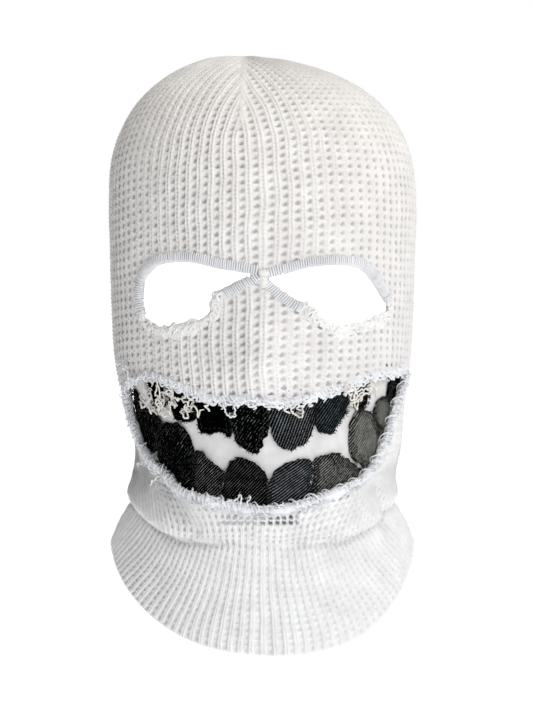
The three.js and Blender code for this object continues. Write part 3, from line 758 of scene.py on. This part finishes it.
def make_hood():
    theta, a, start = hood_grid()
    base = outer(theta, a)
    normal = outward(theta, a)
    ribs, courses = knit_phase(theta, a, start, base)
    depth = knit_depth(ribs, courses, theta, base)
    height, degrees = base[..., 2], np.degrees(np.abs(theta))
    from_apex = np.hypot(base[..., 0] - APEX_X, base[..., 1])
    seam = (theta - math.radians(SEAM_TURN)) % (np.pi / 2)
    seam = np.minimum(seam, np.pi / 2 - seam)
    near_seam = np.exp(-((seam * from_apex / 2.3) ** 2)) * smooth(-40, -30, height)
    depth = depth * (1 - 0.85 * near_seam) + 0.15 * near_seam
    flat = np.stack([np.degrees(theta) * MM_PER_DEGREE, height], -1)
    slots = ladder(flat) * (base[..., 1] < 0)
    depth = np.where(slots > 0.02, np.minimum(depth + SLOT_DEPTH * slots, DEEPEST), depth)
    above = height - crease_height(degrees)
    depth = depth + GROOVE * np.exp(-(((above + 1.0) / 2.4) ** 2)) * smooth(6, 22, degrees)
    high = height > -20
    crown = smooth(12, 3, from_apex) * high
    collar = smooth(2, -6, above)
    # Beside the face the knit is stretched and its dimples are painted darker, more on the wearer's right,
    # the side away from the key light, than on the left.
    flank = smooth(40, 75, degrees) * (0.25 + 0.75 * smooth(120, 90, degrees)) * smooth(-205, -180, height)
    flank = flank * np.where(base[..., 0] > 0, 0.55, 1.0)
    # On the collar most of the painted shade is taken off at the front and about half on the wearer's left,
    # while on the wearer's right, away from the key light, it is kept.
    shaded_side = smooth(15, 50, degrees) * np.where(base[..., 0] > 0, 0.2, 1.0)
    # Painted shade: how dark each point of the knit is painted for lying deep below its outer face.
    shade = smooth(0, 1, (depth - 0.9 + 0.55 * flank) / (1.5 - 0.9 * flank))
    hollow_shade = (0.45 + 0.33 * flank) * shade * (1 - crown) * (1 - (0.6 - 0.75 * shaded_side) * collar)
    # The ladder's slots get the full painted shade, as holes that little light enters.
    hollow_shade = np.maximum(hollow_shade, slots)
    depth = depth * (1 - crown) + 0.8 * crown + 2.2 * smooth(24, 2, from_apex) * high
    # The crown is a little flatter on the wearer's left.
    x = base[..., 0]
    depth = depth + 1.1 * smooth(-8, 6, x) * smooth(62, 30, x) * smooth(-22, -8, height)
    columns = theta.shape[1]
    body = base - normal * depth[..., None]
    # The hem turns in round a lip.
    centre = base[-1] - normal[-1] * (KNIT / 2 + 0.2)
    down = unit(base[-1] - base[-2])
    lip = []
    for turn in np.radians([35, 75, 115, 155]):
        ring = centre + normal[-1] * math.cos(turn) * 1.0 + down * math.sin(turn) * 1.0
        lip.append(ring - normal[-1] * (depth[-1] * 0.6 * math.cos(turn) ** 2)[:, None])
    grid = np.concatenate([body, np.array(lip)])
    quads = grid_quads(len(grid), columns, True)
    flat = np.concatenate([flat, np.repeat(flat[-1:], len(lip), 0)]).reshape(-1, 2)
    front = np.concatenate([base[..., 1] < 0, np.zeros((len(lip), columns), bool)]).reshape(-1)
    cut = holes_in(flat, *OUTER_CUT) & front
    quads = quads[~cut[quads].all(axis=1)]
    points = grid.reshape(-1, 3)
    top = len(points)
    points = np.vstack([points, body[0].mean(axis=0)[None]])
    hollow_shade = np.concatenate([hollow_shade.ravel(), np.zeros(len(lip) * columns + 1)])
    ring = np.arange(columns)
    fan_quads = np.stack([np.full(columns // 2, top), ring[0::2], ring[1::2], np.roll(ring[0::2], -1)], -1)
    quads = np.vstack([quads, fan_quads])
    hollow_shade = kept(hollow_shade, quads)[0]
    points, quads = kept(points, quads)
    thing = build("hood_knit", points, quads, hood_white, "white_knit", ["knit_hood"])
    thing.data.attributes.new("hollow_shade", "FLOAT", "POINT").data.foreach_set("value", hollow_shade.astype(np.float32))
    return thing


def make_lining():
    """The hood's inner face, a plainer ribbed surface."""
    columns, rows = RIBS * 4, 220
    turn = (np.arange(columns) / columns * 2 * np.pi + np.pi) % (2 * np.pi) - np.pi
    theta, a = np.meshgrid(turn, np.linspace(0.012, 0.998, rows))
    ribs = turn / (2 * np.pi) * RIBS
    inside = KNIT + 0.12 * np.cos(2 * np.pi * ribs)
    base = outer(theta, a)
    points = base - outward(theta, a) * inside[None, :, None]
    quads = grid_quads(rows, columns, True)[:, ::-1]
    flat = np.stack([np.degrees(theta) * MM_PER_DEGREE, base[..., 2]], -1).reshape(-1, 2)
    cut = holes_in(flat, *INNER_CUT) & (base[..., 1] < 0).reshape(-1)
    quads = quads[~cut[quads].all(axis=1)]
    points, quads = kept(points.reshape(-1, 3), quads)
    build("hood_inside", points, quads, knit_white, "white_knit")


# -------- threads and fringes

def along_line(line, at):
    """Points at fractional indices along a line, and the whole index before each."""
    i = at.astype(int)
    part = (at - i)[:, None]
    return line[i] * (1 - part) + line[i + 1] * part, i


def fringe(line, out, many, reach, radius, tall, curl, steps=9, sides=4, scatter=0.6):
    """Short curly yarn ends that leave a line of flat places, away from out."""
    root, i = along_line(line, rng.uniform(0, len(line) - 1.001, many))
    inward = -out[i]
    along = right_of(inward)
    length = rng.uniform(reach[0], reach[1], many)
    lean = rng.normal(0, scatter, many)
    direction = unit(inward + along * lean[:, None])
    t = np.linspace(0, 1, steps)
    swirl = rng.uniform(0.6, curl, many)[:, None] * t * 2 * np.pi * rng.choice([-1, 1], many)[:, None]
    phase = rng.uniform(0, 2 * np.pi, many)[:, None]
    sweep = length[:, None] * t
    coil = (0.35 * length)[:, None] * (0.25 + 0.75 * t)
    sway = coil * (np.sin(swirl + phase) - np.sin(phase))
    flat = root[:, None] + direction[:, None] * sweep[..., None]
    flat = flat - right_of(direction)[:, None] * sway[..., None]
    height = rng.uniform(tall[0], tall[1], many)[:, None] * np.sin(np.pi * np.clip(t * 0.8 + 0.1, 0, 1))
    height = height + coil * (np.cos(swirl + phase) - np.cos(phase)) * 0.5
    return tubes(place(flat, height), radius * rng.uniform(0.75, 1.2, many), sides)


def arches(line, out, pitch, reach, radius, height):
    """Little loops of yarn that stand side by side on an edge."""
    many = max(int(len(line) / pitch), 2)
    at = np.clip(np.linspace(1, len(line) - 2, many) + rng.normal(0, 0.3, many), 0, len(line) - 1.01)
    root, i = along_line(line, at)
    inward = -out[i]
    along = right_of(inward)
    t = np.linspace(0, np.pi, 9)
    size = rng.uniform(reach[0], reach[1], many)[:, None]
    wide = rng.uniform(0.5, 1.25, many)[:, None] * pitch
    slant = rng.normal(0, 0.35, many)[:, None]
    u = -np.cos(t) * wide + slant * np.sin(t) * size
    v = np.sin(t) * size
    flat = root[:, None] + along[:, None] * u[..., None] + inward[:, None] * (v - 0.6)[..., None]
    lift = rng.uniform(height[0], height[1], many)[:, None] * (0.4 + 0.6 * np.sin(t))
    return tubes(place(flat, lift), radius * rng.uniform(0.85, 1.15, many))


def strip(line, out, route, waver=0.0):
    """A band of knit under an edge. route has places across it: (distance out, height)."""
    route = np.array(route)
    flat = line[:, None] + out[:, None] * (route[None, :, 0] + np.reshape(waver, (-1, 1)))[..., None]
    band = place(flat, np.broadcast_to(route[:, 1], flat.shape[:2]))
    return band.reshape(-1, 3), grid_quads(len(line), len(route), False)


# The last few steps of each binding run straight into the bridge.
STRAIGHT = 8


def make_eye_rim(side):
    eye, ring = EYES[side], eye_rings[side]
    parts = {
        "upper_binding": stretch(ring, *flat_of([eye["bridge"], eye["outer_end"]])),
        "inner_binding": stretch(ring, *flat_of([eye["inner_end"], eye["bridge"]])),
    }
    for name, (line, out) in parts.items():
        inner = slice(None, None, -1) if name == "inner_binding" else slice(None)
        line, out = line[inner], out[inner]
        straight = line[4] + (line[4] - line[5]) * np.arange(STRAIGHT, 0, -1)[:, None]
        line = np.vstack([straight, line[4:]])[inner]
        out = np.vstack([np.repeat(out[4:5], STRAIGHT, 0), out[4:]])[inner]
        run = spaced(line, 1.12)
        at, known = np.linspace(0, 1, len(run)), np.linspace(0, 1, len(out))
        out = unit(np.stack([np.interp(at, known, out[:, k]) for k in range(2)], -1))
        along = unit(np.gradient(run, axis=0))
        # Each stitch goes over the edge: (distance from the edge, height over the knit, slant).
        route = np.array([
            [5.0, -0.6, 0.5], [4.7, 0.1, 0.45], [3.6, 0.75, 0.35], [2.2, 0.95, 0.2], [0.9, 0.7, 0.1],
            [0.0, -0.3, 0.0], [-0.25, -1.4, -0.05], [0.1, -2.6, -0.1], [1.5, -3.2, -0.2], [3.6, -3.1, -0.4],
        ])
        many = len(run)
        jitter = rng.normal(0, 0.05, (many, 1))
        reach = route[None, :, 0] * (1 + rng.normal(0, 0.04, (many, 1)))
        flat = run[:, None] + out[:, None] * reach[..., None]
        flat = flat + along[:, None] * (route[None, :, 2] + jitter)[..., None]
        height = route[None, :, 1] + rng.normal(0, 0.06, (many, 1))
        stitches = tubes(place(flat, height), 0.43 * rng.uniform(0.92, 1.08, many))
        # A flat core of knit lies under the stitches, painted a darker bluish grey for the shade between
        # them.
        core = strip(run, out, [
            [4.9, -0.9], [3.8, 0.0], [2.2, 0.25], [0.7, -0.05], [0.15, -1.2], [0.7, -2.5], [4.9, -2.6],
        ])
        node_name = f"{side}_eye_{name}"
        build(node_name + "_thread", *stitches, binding_white, "binding_thread", [node_name])
        build(node_name + "_core", *core, binding_core_shade, "binding_thread")


def make_eye_fray(side):
    eye, ring = EYES[side], eye_rings[side]
    line, out = stretch(ring, *flat_of([eye["outer_end"], eye["inner_end"]]))
    edge = line + out * 1.2
    parts = [
        arches(edge, out, 2.8, (1.7, 4.0), 0.8, (-0.6, 1.1)),
        arches(edge + out * 1.3, out, 2.3, (1.6, 3.4), 0.7, (0.1, 1.4)),
        rope(edge, out, 0.4, 0.3, 0.21, 1.0, 0.55),
        rope(edge, out, 1.2, 0.1, 0.17, 0.9, 0.55),
        fringe(edge, out, 44, (1.2, 3.2), 0.55, (-0.5, 1.5), 1.8, steps=12, sides=6),
        fringe(edge, out, 50, (1.0, 3.0), 0.13, (-1, 2), 2.2, steps=10),
    ]
    # The raw edge of the knit itself.
    parts.append(strip(line, out, [
        [5.0, -0.9], [3.6, -0.2], [2.0, 0.1], [0.9, -0.5], [0.5, -1.4], [1.2, -2.4], [5.0, -2.6],
    ], 1.5 * wander(1, len(line), 0.6, 1.8)[0, :, 0]))
    build(f"{side}_eye_fray", *joined(parts), knit_white, "white_knit", [f"{side}_eye_frayed_edge"])


def rope(line, out, offset, height, turns_per_mm, size, radius):
    """A yarn that coils round an edge line, as curled-up knit does."""
    t = np.arange(0, len(line) - 1.001, 0.5)
    base, outs = along_line(line, t)[0], unit(along_line(out, t)[0])
    wobble = wander(1, len(t), 0.35, 3)[0]
    turn = turns_per_mm * 2 * np.pi * t + 1.6 * np.cumsum(wobble[:, 0]) * 0.12
    r = size * (1 + 0.25 * wobble[:, 1])
    flat = base + outs * (offset + r * np.cos(turn) + 0.3 * wobble[:, 2])[:, None]
    lift = height + r * np.sin(turn)
    return tubes(place(flat, lift)[None], radius)


def make_mouth_roll():
    line, out = stretch(mouth_ring, LEFT_CORNER, RIGHT_CORNER)
    parts = []
    for k in range(7):
        offset, lift = 2.8 + rng.normal(0, 0.7), 0.7 + rng.normal(0, 0.35)
        size, radius = rng.uniform(1.3, 2.2), rng.uniform(0.32, 0.46)
        parts.append(rope(line, out, offset, lift, 0.1 + 0.035 * k, size, radius))
    parts += [
        arches(line + out * 1.8, out, 2.3, (0.4, 2.8), 0.42, (0.4, 2.2)),
        arches(line + out * 4.4, -out, 2.3, (0.4, 2.8), 0.38, (0.4, 1.9)),
        fringe(line + out * 2.2, out, 900, (0.8, 2.8), 0.15, (0.6, 3.0), 3.0, steps=12),
        fringe(line + out * 3.6, -out, 900, (0.8, 3.2), 0.15, (0.6, 3.0), 3.0, steps=12),
        fringe(line + out * 2.2, out, 60, (1.2, 3.6), 0.36, (0.5, 3.0), 2.4, steps=14, sides=6),
    ]
    # The rolled edge's body.
    turn = np.linspace(0, 2 * np.pi, 13)[:-1]
    size = 1.6 * (1 + wander(1, len(line), 0.22, 4)[0, :, 0])
    flat = line[:, None] + out[:, None] * (2.9 + (size * 1.15)[:, None] * np.cos(turn))[..., None]
    lift = 0.2 + size[:, None] * 1.05 * np.sin(turn)
    body = place(flat, lift)
    parts.append((body.reshape(-1, 3), grid_quads(len(line), 12, True)))
    build("mouth_roll", *joined(parts), fluff_white, "white_knit", ["mouth_lower_rolled_edge"])


def make_mouth_fray():
    line, out = stretch(mouth_ring, RIGHT_CORNER, LEFT_CORNER)
    parts = [
        arches(line + out * 1.2, out, 2.3, (1.4, 3.6), 0.58, (-0.2, 1.8)),
        arches(line + out * 2.6, out, 2.3, (1.2, 2.9), 0.58, (0.2, 2.0)),
        rope(line, out, 1.8, 0.4, 0.24, 1.1, 0.48),
        rope(line, out, 2.4, 0.3, 0.19, 1.2, 0.48),
        fringe(line + out * 1.4, out, 90, (1.0, 3.2), 0.12, (-0.5, 2.4), 3.2, steps=14),
        fringe(line + out * 1.0, out, 46, (2, 5.0), 0.46, (-0.5, 2.0), 2.4, steps=16, sides=6),
    ]
    parts.append(strip(line, out, [
        [4.0, -0.9], [3.2, 0.3], [2.0, 0.7], [0.9, 0.2], [0.4, -1.1], [1.0, -2.4], [4.0, -2.6],
    ], 0.7 * wander(1, len(line), 0.6, 1.2)[0, :, 0]))
    build("mouth_fray", *joined(parts), fluff_white, "white_knit", ["mouth_upper_frayed_edge"])


YARN_STEP = 0.3


def make_loose_yarns():
    """Each strand runs along its line in curls, finely crimped as unravelled yarn is."""
    for name, places in LOOSE_YARNS.items():
        line = spaced(flat_of(places), YARN_STEP)
        n = len(line)
        t = np.arange(n) * YARN_STEP
        along = unit(np.gradient(line, axis=0))
        across = right_of(along)
        tangled = name in STRANDS
        lines = []
        for _ in range(STRANDS.get(name, 1)):
            noise = wander(1, n, 1.0, 10)[0]
            turn = 2 * np.pi * t / rng.uniform(6.0, 8.5) + rng.uniform(0, 6.28) + 0.8 * noise[:, 0]
            crimp = np.sin(2 * np.pi * t / 2.9 + noise[:, 1])
            size = (1.7 if tangled else 0.25) * (1 + 0.3 * noise[:, 1])
            flat = line + across * (size * np.sin(turn) + 0.4 * crimp)[:, None]
            flat = flat + along * (size * np.cos(turn))[:, None]
            flat = flat + noise[:, :2] * (0.9 if tangled else 0.3)
            lines.append(place(flat, 2.3 + 0.8 * np.cos(turn) + 0.3 * noise[:, 2]))
        parts = [tubes(np.array(lines), 0.41), fringe(line, across, 14, (0.8, 2.4), 0.1, (1.6, 3.4), 2.0)]
        material = cream_yarn if name in CREAM_YARNS else fluff_white
        build(name + "_crimped", *joined(parts), material, "loose_yarn", [name])


# -------- cloth patches

def patch(ring, spacing, shape, thickness):
    """Points and triangles of a thick cloth patch that fills a flat ring, and its weave.

    shape gives how far each flat place stands out."""
    low, high = ring.min(0), ring.max(0)
    xs = np.arange(low[0], high[0], spacing)
    ys = np.arange(low[1], high[1], spacing * 0.87)
    gx, gy = np.meshgrid(xs, ys)
    gx = gx + (np.arange(len(ys)) % 2)[:, None] * spacing / 2
    inner = np.stack([gx, gy], -1).reshape(-1, 2)
    inner = inner[within(inner, grow(ring, -0.45 * spacing))]
    count = len(ring)
    everything = np.vstack([ring, inner])
    edges = [(i, (i + 1) % count) for i in range(count)]
    found = delaunay_2d_cdt([Vector(p) for p in everything], edges, [list(range(count))], 1, 1e-6)
    flat = np.array([tuple(v) for v in found[0]])
    triangles = np.array([f for f in found[2] if len(f) == 3], int)
    a, b, c = (flat[triangles[:, k]] for k in range(3))
    turn = (b - a)[:, 0] * (c - a)[:, 1] - (b - a)[:, 1] * (c - a)[:, 0]
    triangles[turn < 0] = triangles[turn < 0][:, ::-1]
    from_edge = np.full(len(flat), 1e9)
    for p, q in zip(ring, np.roll(ring, -1, 0)):
        d = q - p
        t = np.clip(((flat - p) @ d) / max(d @ d, 1e-9), 0, 1)
        from_edge = np.minimum(from_edge, np.linalg.norm(flat - p - t[:, None] * d, axis=1))
    out = shape(flat, from_edge)
    top = place(flat, out)
    under = place(flat, out - thickness)
    edges = dict.fromkeys((tri[i], tri[(i + 1) % 3]) for tri in triangles for i in range(3))
    n = len(flat)
    walls = []
    for a, b in edges:
        if (b, a) not in edges:
            walls += [[b, a, a + n], [b, a + n, b + n]]
    faces = np.vstack([triangles, triangles[:, ::-1] + n, np.array(walls)])
    weave = np.column_stack([np.vstack([flat, flat]), np.concatenate([from_edge, from_edge])])
    return np.vstack([top, under]), faces, weave


def add_weave(thing, weave, turn=0.0):
    """Stores the weave, turned on the cloth."""
    c, s = math.cos(turn), math.sin(turn)
    turned = weave.copy()
    turned[:, 0] = c * weave[:, 0] - s * weave[:, 1]
    turned[:, 1] = s * weave[:, 0] + c * weave[:, 1]
    layer = thing.data.attributes.new("weave", "FLOAT_VECTOR", "POINT")
    layer.data.foreach_set("vector", turned.astype(np.float32).ravel())


LOWER_WEAVE_TURN = 0.3


def ragged(ring, size):
    return ring + away(ring) * wander(1, len(ring), size, 0.8)[0, :, :1]


def make_tooth(row, number, places):
    ring = ragged(spaced(flat_of(places), 0.8, closed=True), 0.3)
    phase = rng.uniform(0, 6.28, 3)

    def shape(flat, from_edge):
        x, y = flat.T
        pillow = 0.8 * smooth(0, 5, from_edge)
        ripple = 0.3 * np.sin(x / 3.1 + phase[0]) * np.sin(y / 4.3 + phase[1])
        return -DENIM_DEPTH + 0.15 + pillow + ripple * smooth(0, 3, from_edge)

    points, faces, weave = patch(ring, 0.9, shape, DENIM * 0.8)
    node_name = f"{row}_tooth_{number}"
    cloth = CLOTH[row][number - 1]
    slot = "faded_denim" if cloth in ("dusty", "faded") else "black_denim"
    tooth = build(node_name + "_denim", points, faces, DENIMS[cloth], slot, [node_name])
    add_weave(tooth, weave, rng.uniform(-0.12, 0.12) + (LOWER_WEAVE_TURN if row == "lower" else 0.0))
    line, out = (np.vstack([loop, loop[:1]]) for loop in (ring, away(ring)))
    ends = fringe(line - out * 0.5, -out, 90, (0.4, 1.3), 0.15, (-2.9, -1.9), 1.6, steps=7, scatter=0.8)
    build(node_name + "_threads", *ends, black_thread, "black_denim")


def dashes(line, heights):
    """Stitches along an evenly spaced line, each dipping at its ends."""
    starts = np.arange(0, len(line) - 5, 6)
    return place(line[starts[:, None] + np.arange(5)], np.broadcast_to(heights, (len(starts), 5)))


def make_stitching(row, number, places):
    """Stitches along the part of a tooth's edge that the mouth shows."""
    ring = spaced(flat_of(places), 0.6, closed=True)
    inset = grow(ring, -2.6)
    shows = within(inset, grow(mouth_ring, -1.0))
    count = len(inset)
    starts = [i for i in range(count) if shows[i] and not shows[i - 1]]
    first = starts[0] if starts else 0
    line = []
    for k in range(count):
        if not shows[(first + k) % count]:
            break
        line.append(inset[(first + k) % count])
    line = spaced(np.array(line), 0.5)
    name = f"{row}_tooth_{number}_stitching"
    stitches = tubes(dashes(line, [-2.4, -1.75, -1.6, -1.75, -2.4]), 0.2)
    build(name + "_dashes", *stitches, black_thread, "black_thread", [name])


def make_panel():
    ring = grow(mouth_ring, 5.0)

    def shape(flat, from_edge):
        x, y = flat.T
        folds = 0.35 * np.sin(x / 7 + y / 11) + 0.25 * np.sin(x / 3.2 - y / 9 + 1.0)
        return -COTTON_DEPTH - 0.1 + folds * smooth(0, 8, from_edge)

    points, faces, weave = patch(ring, 1.3, shape, COTTON)
    panel = build("mouth_cotton", points, faces, cotton_white, "cotton", ["mouth_backing_panel"])
    add_weave(panel, weave)
    seam = grow(mouth_ring, 3.5)
    ends = {"upper": (RIGHT_CORNER, LEFT_CORNER), "lower": (LEFT_CORNER, RIGHT_CORNER)}
    for half, (start, end) in ends.items():
        name = f"panel_seam_{half}"
        line = spaced(stretch(seam, start, end)[0], 0.5)
        stitches = tubes(dashes(line, [-4.6, -5.1, -5.2, -5.1, -4.6]), 0.3)
        build(name + "_dashes", *stitches, seam_white, "white_thread", [name])


BRIDGE_X = 0.4


def make_bridge_tack():
    lines = []
    for k in range(13):
        y = -109.6 - 0.68 * k + rng.normal(0, 0.12)
        half = 1.9 + rng.normal(0, 0.35)
        tilt = rng.normal(0, 0.25)
        flat = [[-half, y - tilt], [-half * 0.6, y], [0, y - 0.1], [half * 0.6, y], [half, y + tilt]]
        lines.append(place(np.array(flat) + [BRIDGE_X, 0], [-0.4, 1.1, 1.6, 1.1, -0.4]))
    edge = spaced([[BRIDGE_X, -109.5], [BRIDGE_X, -118.0]], 0.8)
    sideways = np.tile([1.0, 0.0], (len(edge), 1))
    parts = [
        tubes(lines, 0.4),
        fringe(edge, sideways, 26, (1.0, 2.6), 0.13, (0.6, 1.6), 2.0),
        fringe(edge, -sideways, 26, (1.0, 2.6), 0.13, (0.6, 1.6), 2.0),
    ]
    build("nose_bridge_bar", *joined(parts), knit_white, "white_thread", ["nose_bridge_tack"])


def make_crown_seams():
    for k, name in enumerate(["front", "left", "back", "right"]):
        theta = k * math.pi / 2 + math.radians(SEAM_TURN)
        a = np.linspace(0.07, 0.3, 60)
        base, normal = outer(theta, a), outward(theta, a)
        around = unit(np.cross(normal, np.gradient(base, axis=0)))
        lines = []
        for side in (0, 1):
            turn = 2 * np.pi * np.arange(len(a)) / 5 + np.pi * side
            inside = base - normal * (KNIT + 1.6 + 0.5 * np.cos(turn))[:, None]
            lines.append(inside + around * np.sin(turn)[:, None])
        seam = f"crown_seam_{name}"
        build(seam + "_overlock", *tubes(lines, 0.4), seam_white, "white_thread", [seam])


hood = make_hood()
make_lining()
for eye_side in EYES:
    make_eye_rim(eye_side)
    make_eye_fray(eye_side)
make_bridge_tack()
make_crown_seams()
make_panel()
make_mouth_roll()
make_mouth_fray()
make_loose_yarns()
for row_name, teeth in (("upper", UPPER_TEETH), ("lower", LOWER_TEETH)):
    for tooth_number, tooth_places in enumerate(teeth, 1):
        make_tooth(row_name, tooth_number, tooth_places)
        if tooth_number in STITCHED[row_name]:
            make_stitching(row_name, tooth_number, tooth_places)


# -------- floor, light and camera

def area_light(name, place_at, aim, size, power, colour):
    light = bpy.data.lights.new(name, "AREA")
    light.shape = "DISK"
    light.size = size
    light.energy = power
    light.color = colour
    thing = bpy.data.objects.new(name, light)
    thing.location = place_at
    thing.rotation_euler = (Vector(aim) - Vector(place_at)).to_track_quat("-Z", "Y").to_euler()
    bpy.context.scene.collection.objects.link(thing)
    thing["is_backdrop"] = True


AIM = Vector((0, 0, -0.159))
low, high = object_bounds()
bpy.ops.mesh.primitive_plane_add(size=12, location=(0, 2, low.z - 0.0005))
floor = bpy.context.object
floor.name = "floor"
floor_material, floor_tree, floor_shader = principled("floor_white", (0.15, 0.15, 0.15), 1.0)
feed(floor_tree, floor_shader["Emission Color"], (1, 1, 1))
feed(floor_tree, floor_shader["Specular IOR Level"], 0.0)
feed(floor_tree, floor_shader["Emission Strength"], 1.0)
floor.data.materials.append(floor_material)
floor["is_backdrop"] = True

world = bpy.data.worlds.new("studio")
world.use_nodes = True
tree = world.node_tree
# A pale horizon all round, a bright wall far behind the hood, and a dimmer room above, darkest
# towards -X.
towards = node(tree, "SeparateXYZ", Vector=node(tree, "TexCoord").outputs["Generated"]).outputs
room = spread(tree, towards["X"], -0.7, 0.7, 0.0, 0.5)
wall = spread(tree, towards["Y"], 0.91, 0.97, room, 1.0)
horizon = spread(tree, towards["Z"], 0.1, 0.13, 1.0, wall)
background = tree.nodes["Background"].inputs
feed(tree, background["Strength"], horizon)
feed(tree, background["Color"], (1, 1, 1))
bpy.context.scene.world = world
area_light("key", (1.1, -1.3, 0.5), AIM, 0.6, 6.5, (1, 0.985, 0.965))
area_light("top", (0.1, -0.2, 1.2), AIM, 0.9, 8.0, (1, 0.98, 0.94))
area_light("low", (0.5, -1.5, -0.25), (0, 0, -0.26), 0.8, 2.6, (0.95, 0.975, 1))
area_light("collar", (0.17, -0.72, -0.23), (0, 0, -0.27), 0.16, 0.58, (0.95, 0.975, 1))
area_light("inside", (0, 0.02, -0.1), (0, 0.1, -0.12), 0.05, 0.25, (1, 1, 1))

camera_data = bpy.data.cameras.new("camera")
camera = bpy.data.objects.new("camera", camera_data)
bpy.context.scene.collection.objects.link(camera)
# The camera is far off and a little above the hood, and its frame is 0.3809 m high there.
DISTANCE = 1.3
SENSOR = 36
PICTURE_HEIGHT = 711
ELEVATION = math.radians(4)
FRAME_HEIGHT = 0.3809
camera.location = AIM + DISTANCE * Vector((0, -math.cos(ELEVATION), math.sin(ELEVATION)))
camera.rotation_euler = (AIM - camera.location).to_track_quat("-Z", "Y").to_euler()
camera_data.sensor_fit = "AUTO"
camera_data.sensor_width = SENSOR
camera_data.lens = SENSOR * DISTANCE / FRAME_HEIGHT
camera_data.shift_x = 4 / PICTURE_HEIGHT
camera_data.shift_y = 1.5 / PICTURE_HEIGHT
camera_data.clip_start = 0.05
camera_data.clip_end = 50
bpy.context.scene.camera = camera
bpy.context.scene.view_settings.view_transform = "Standard"

low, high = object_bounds()
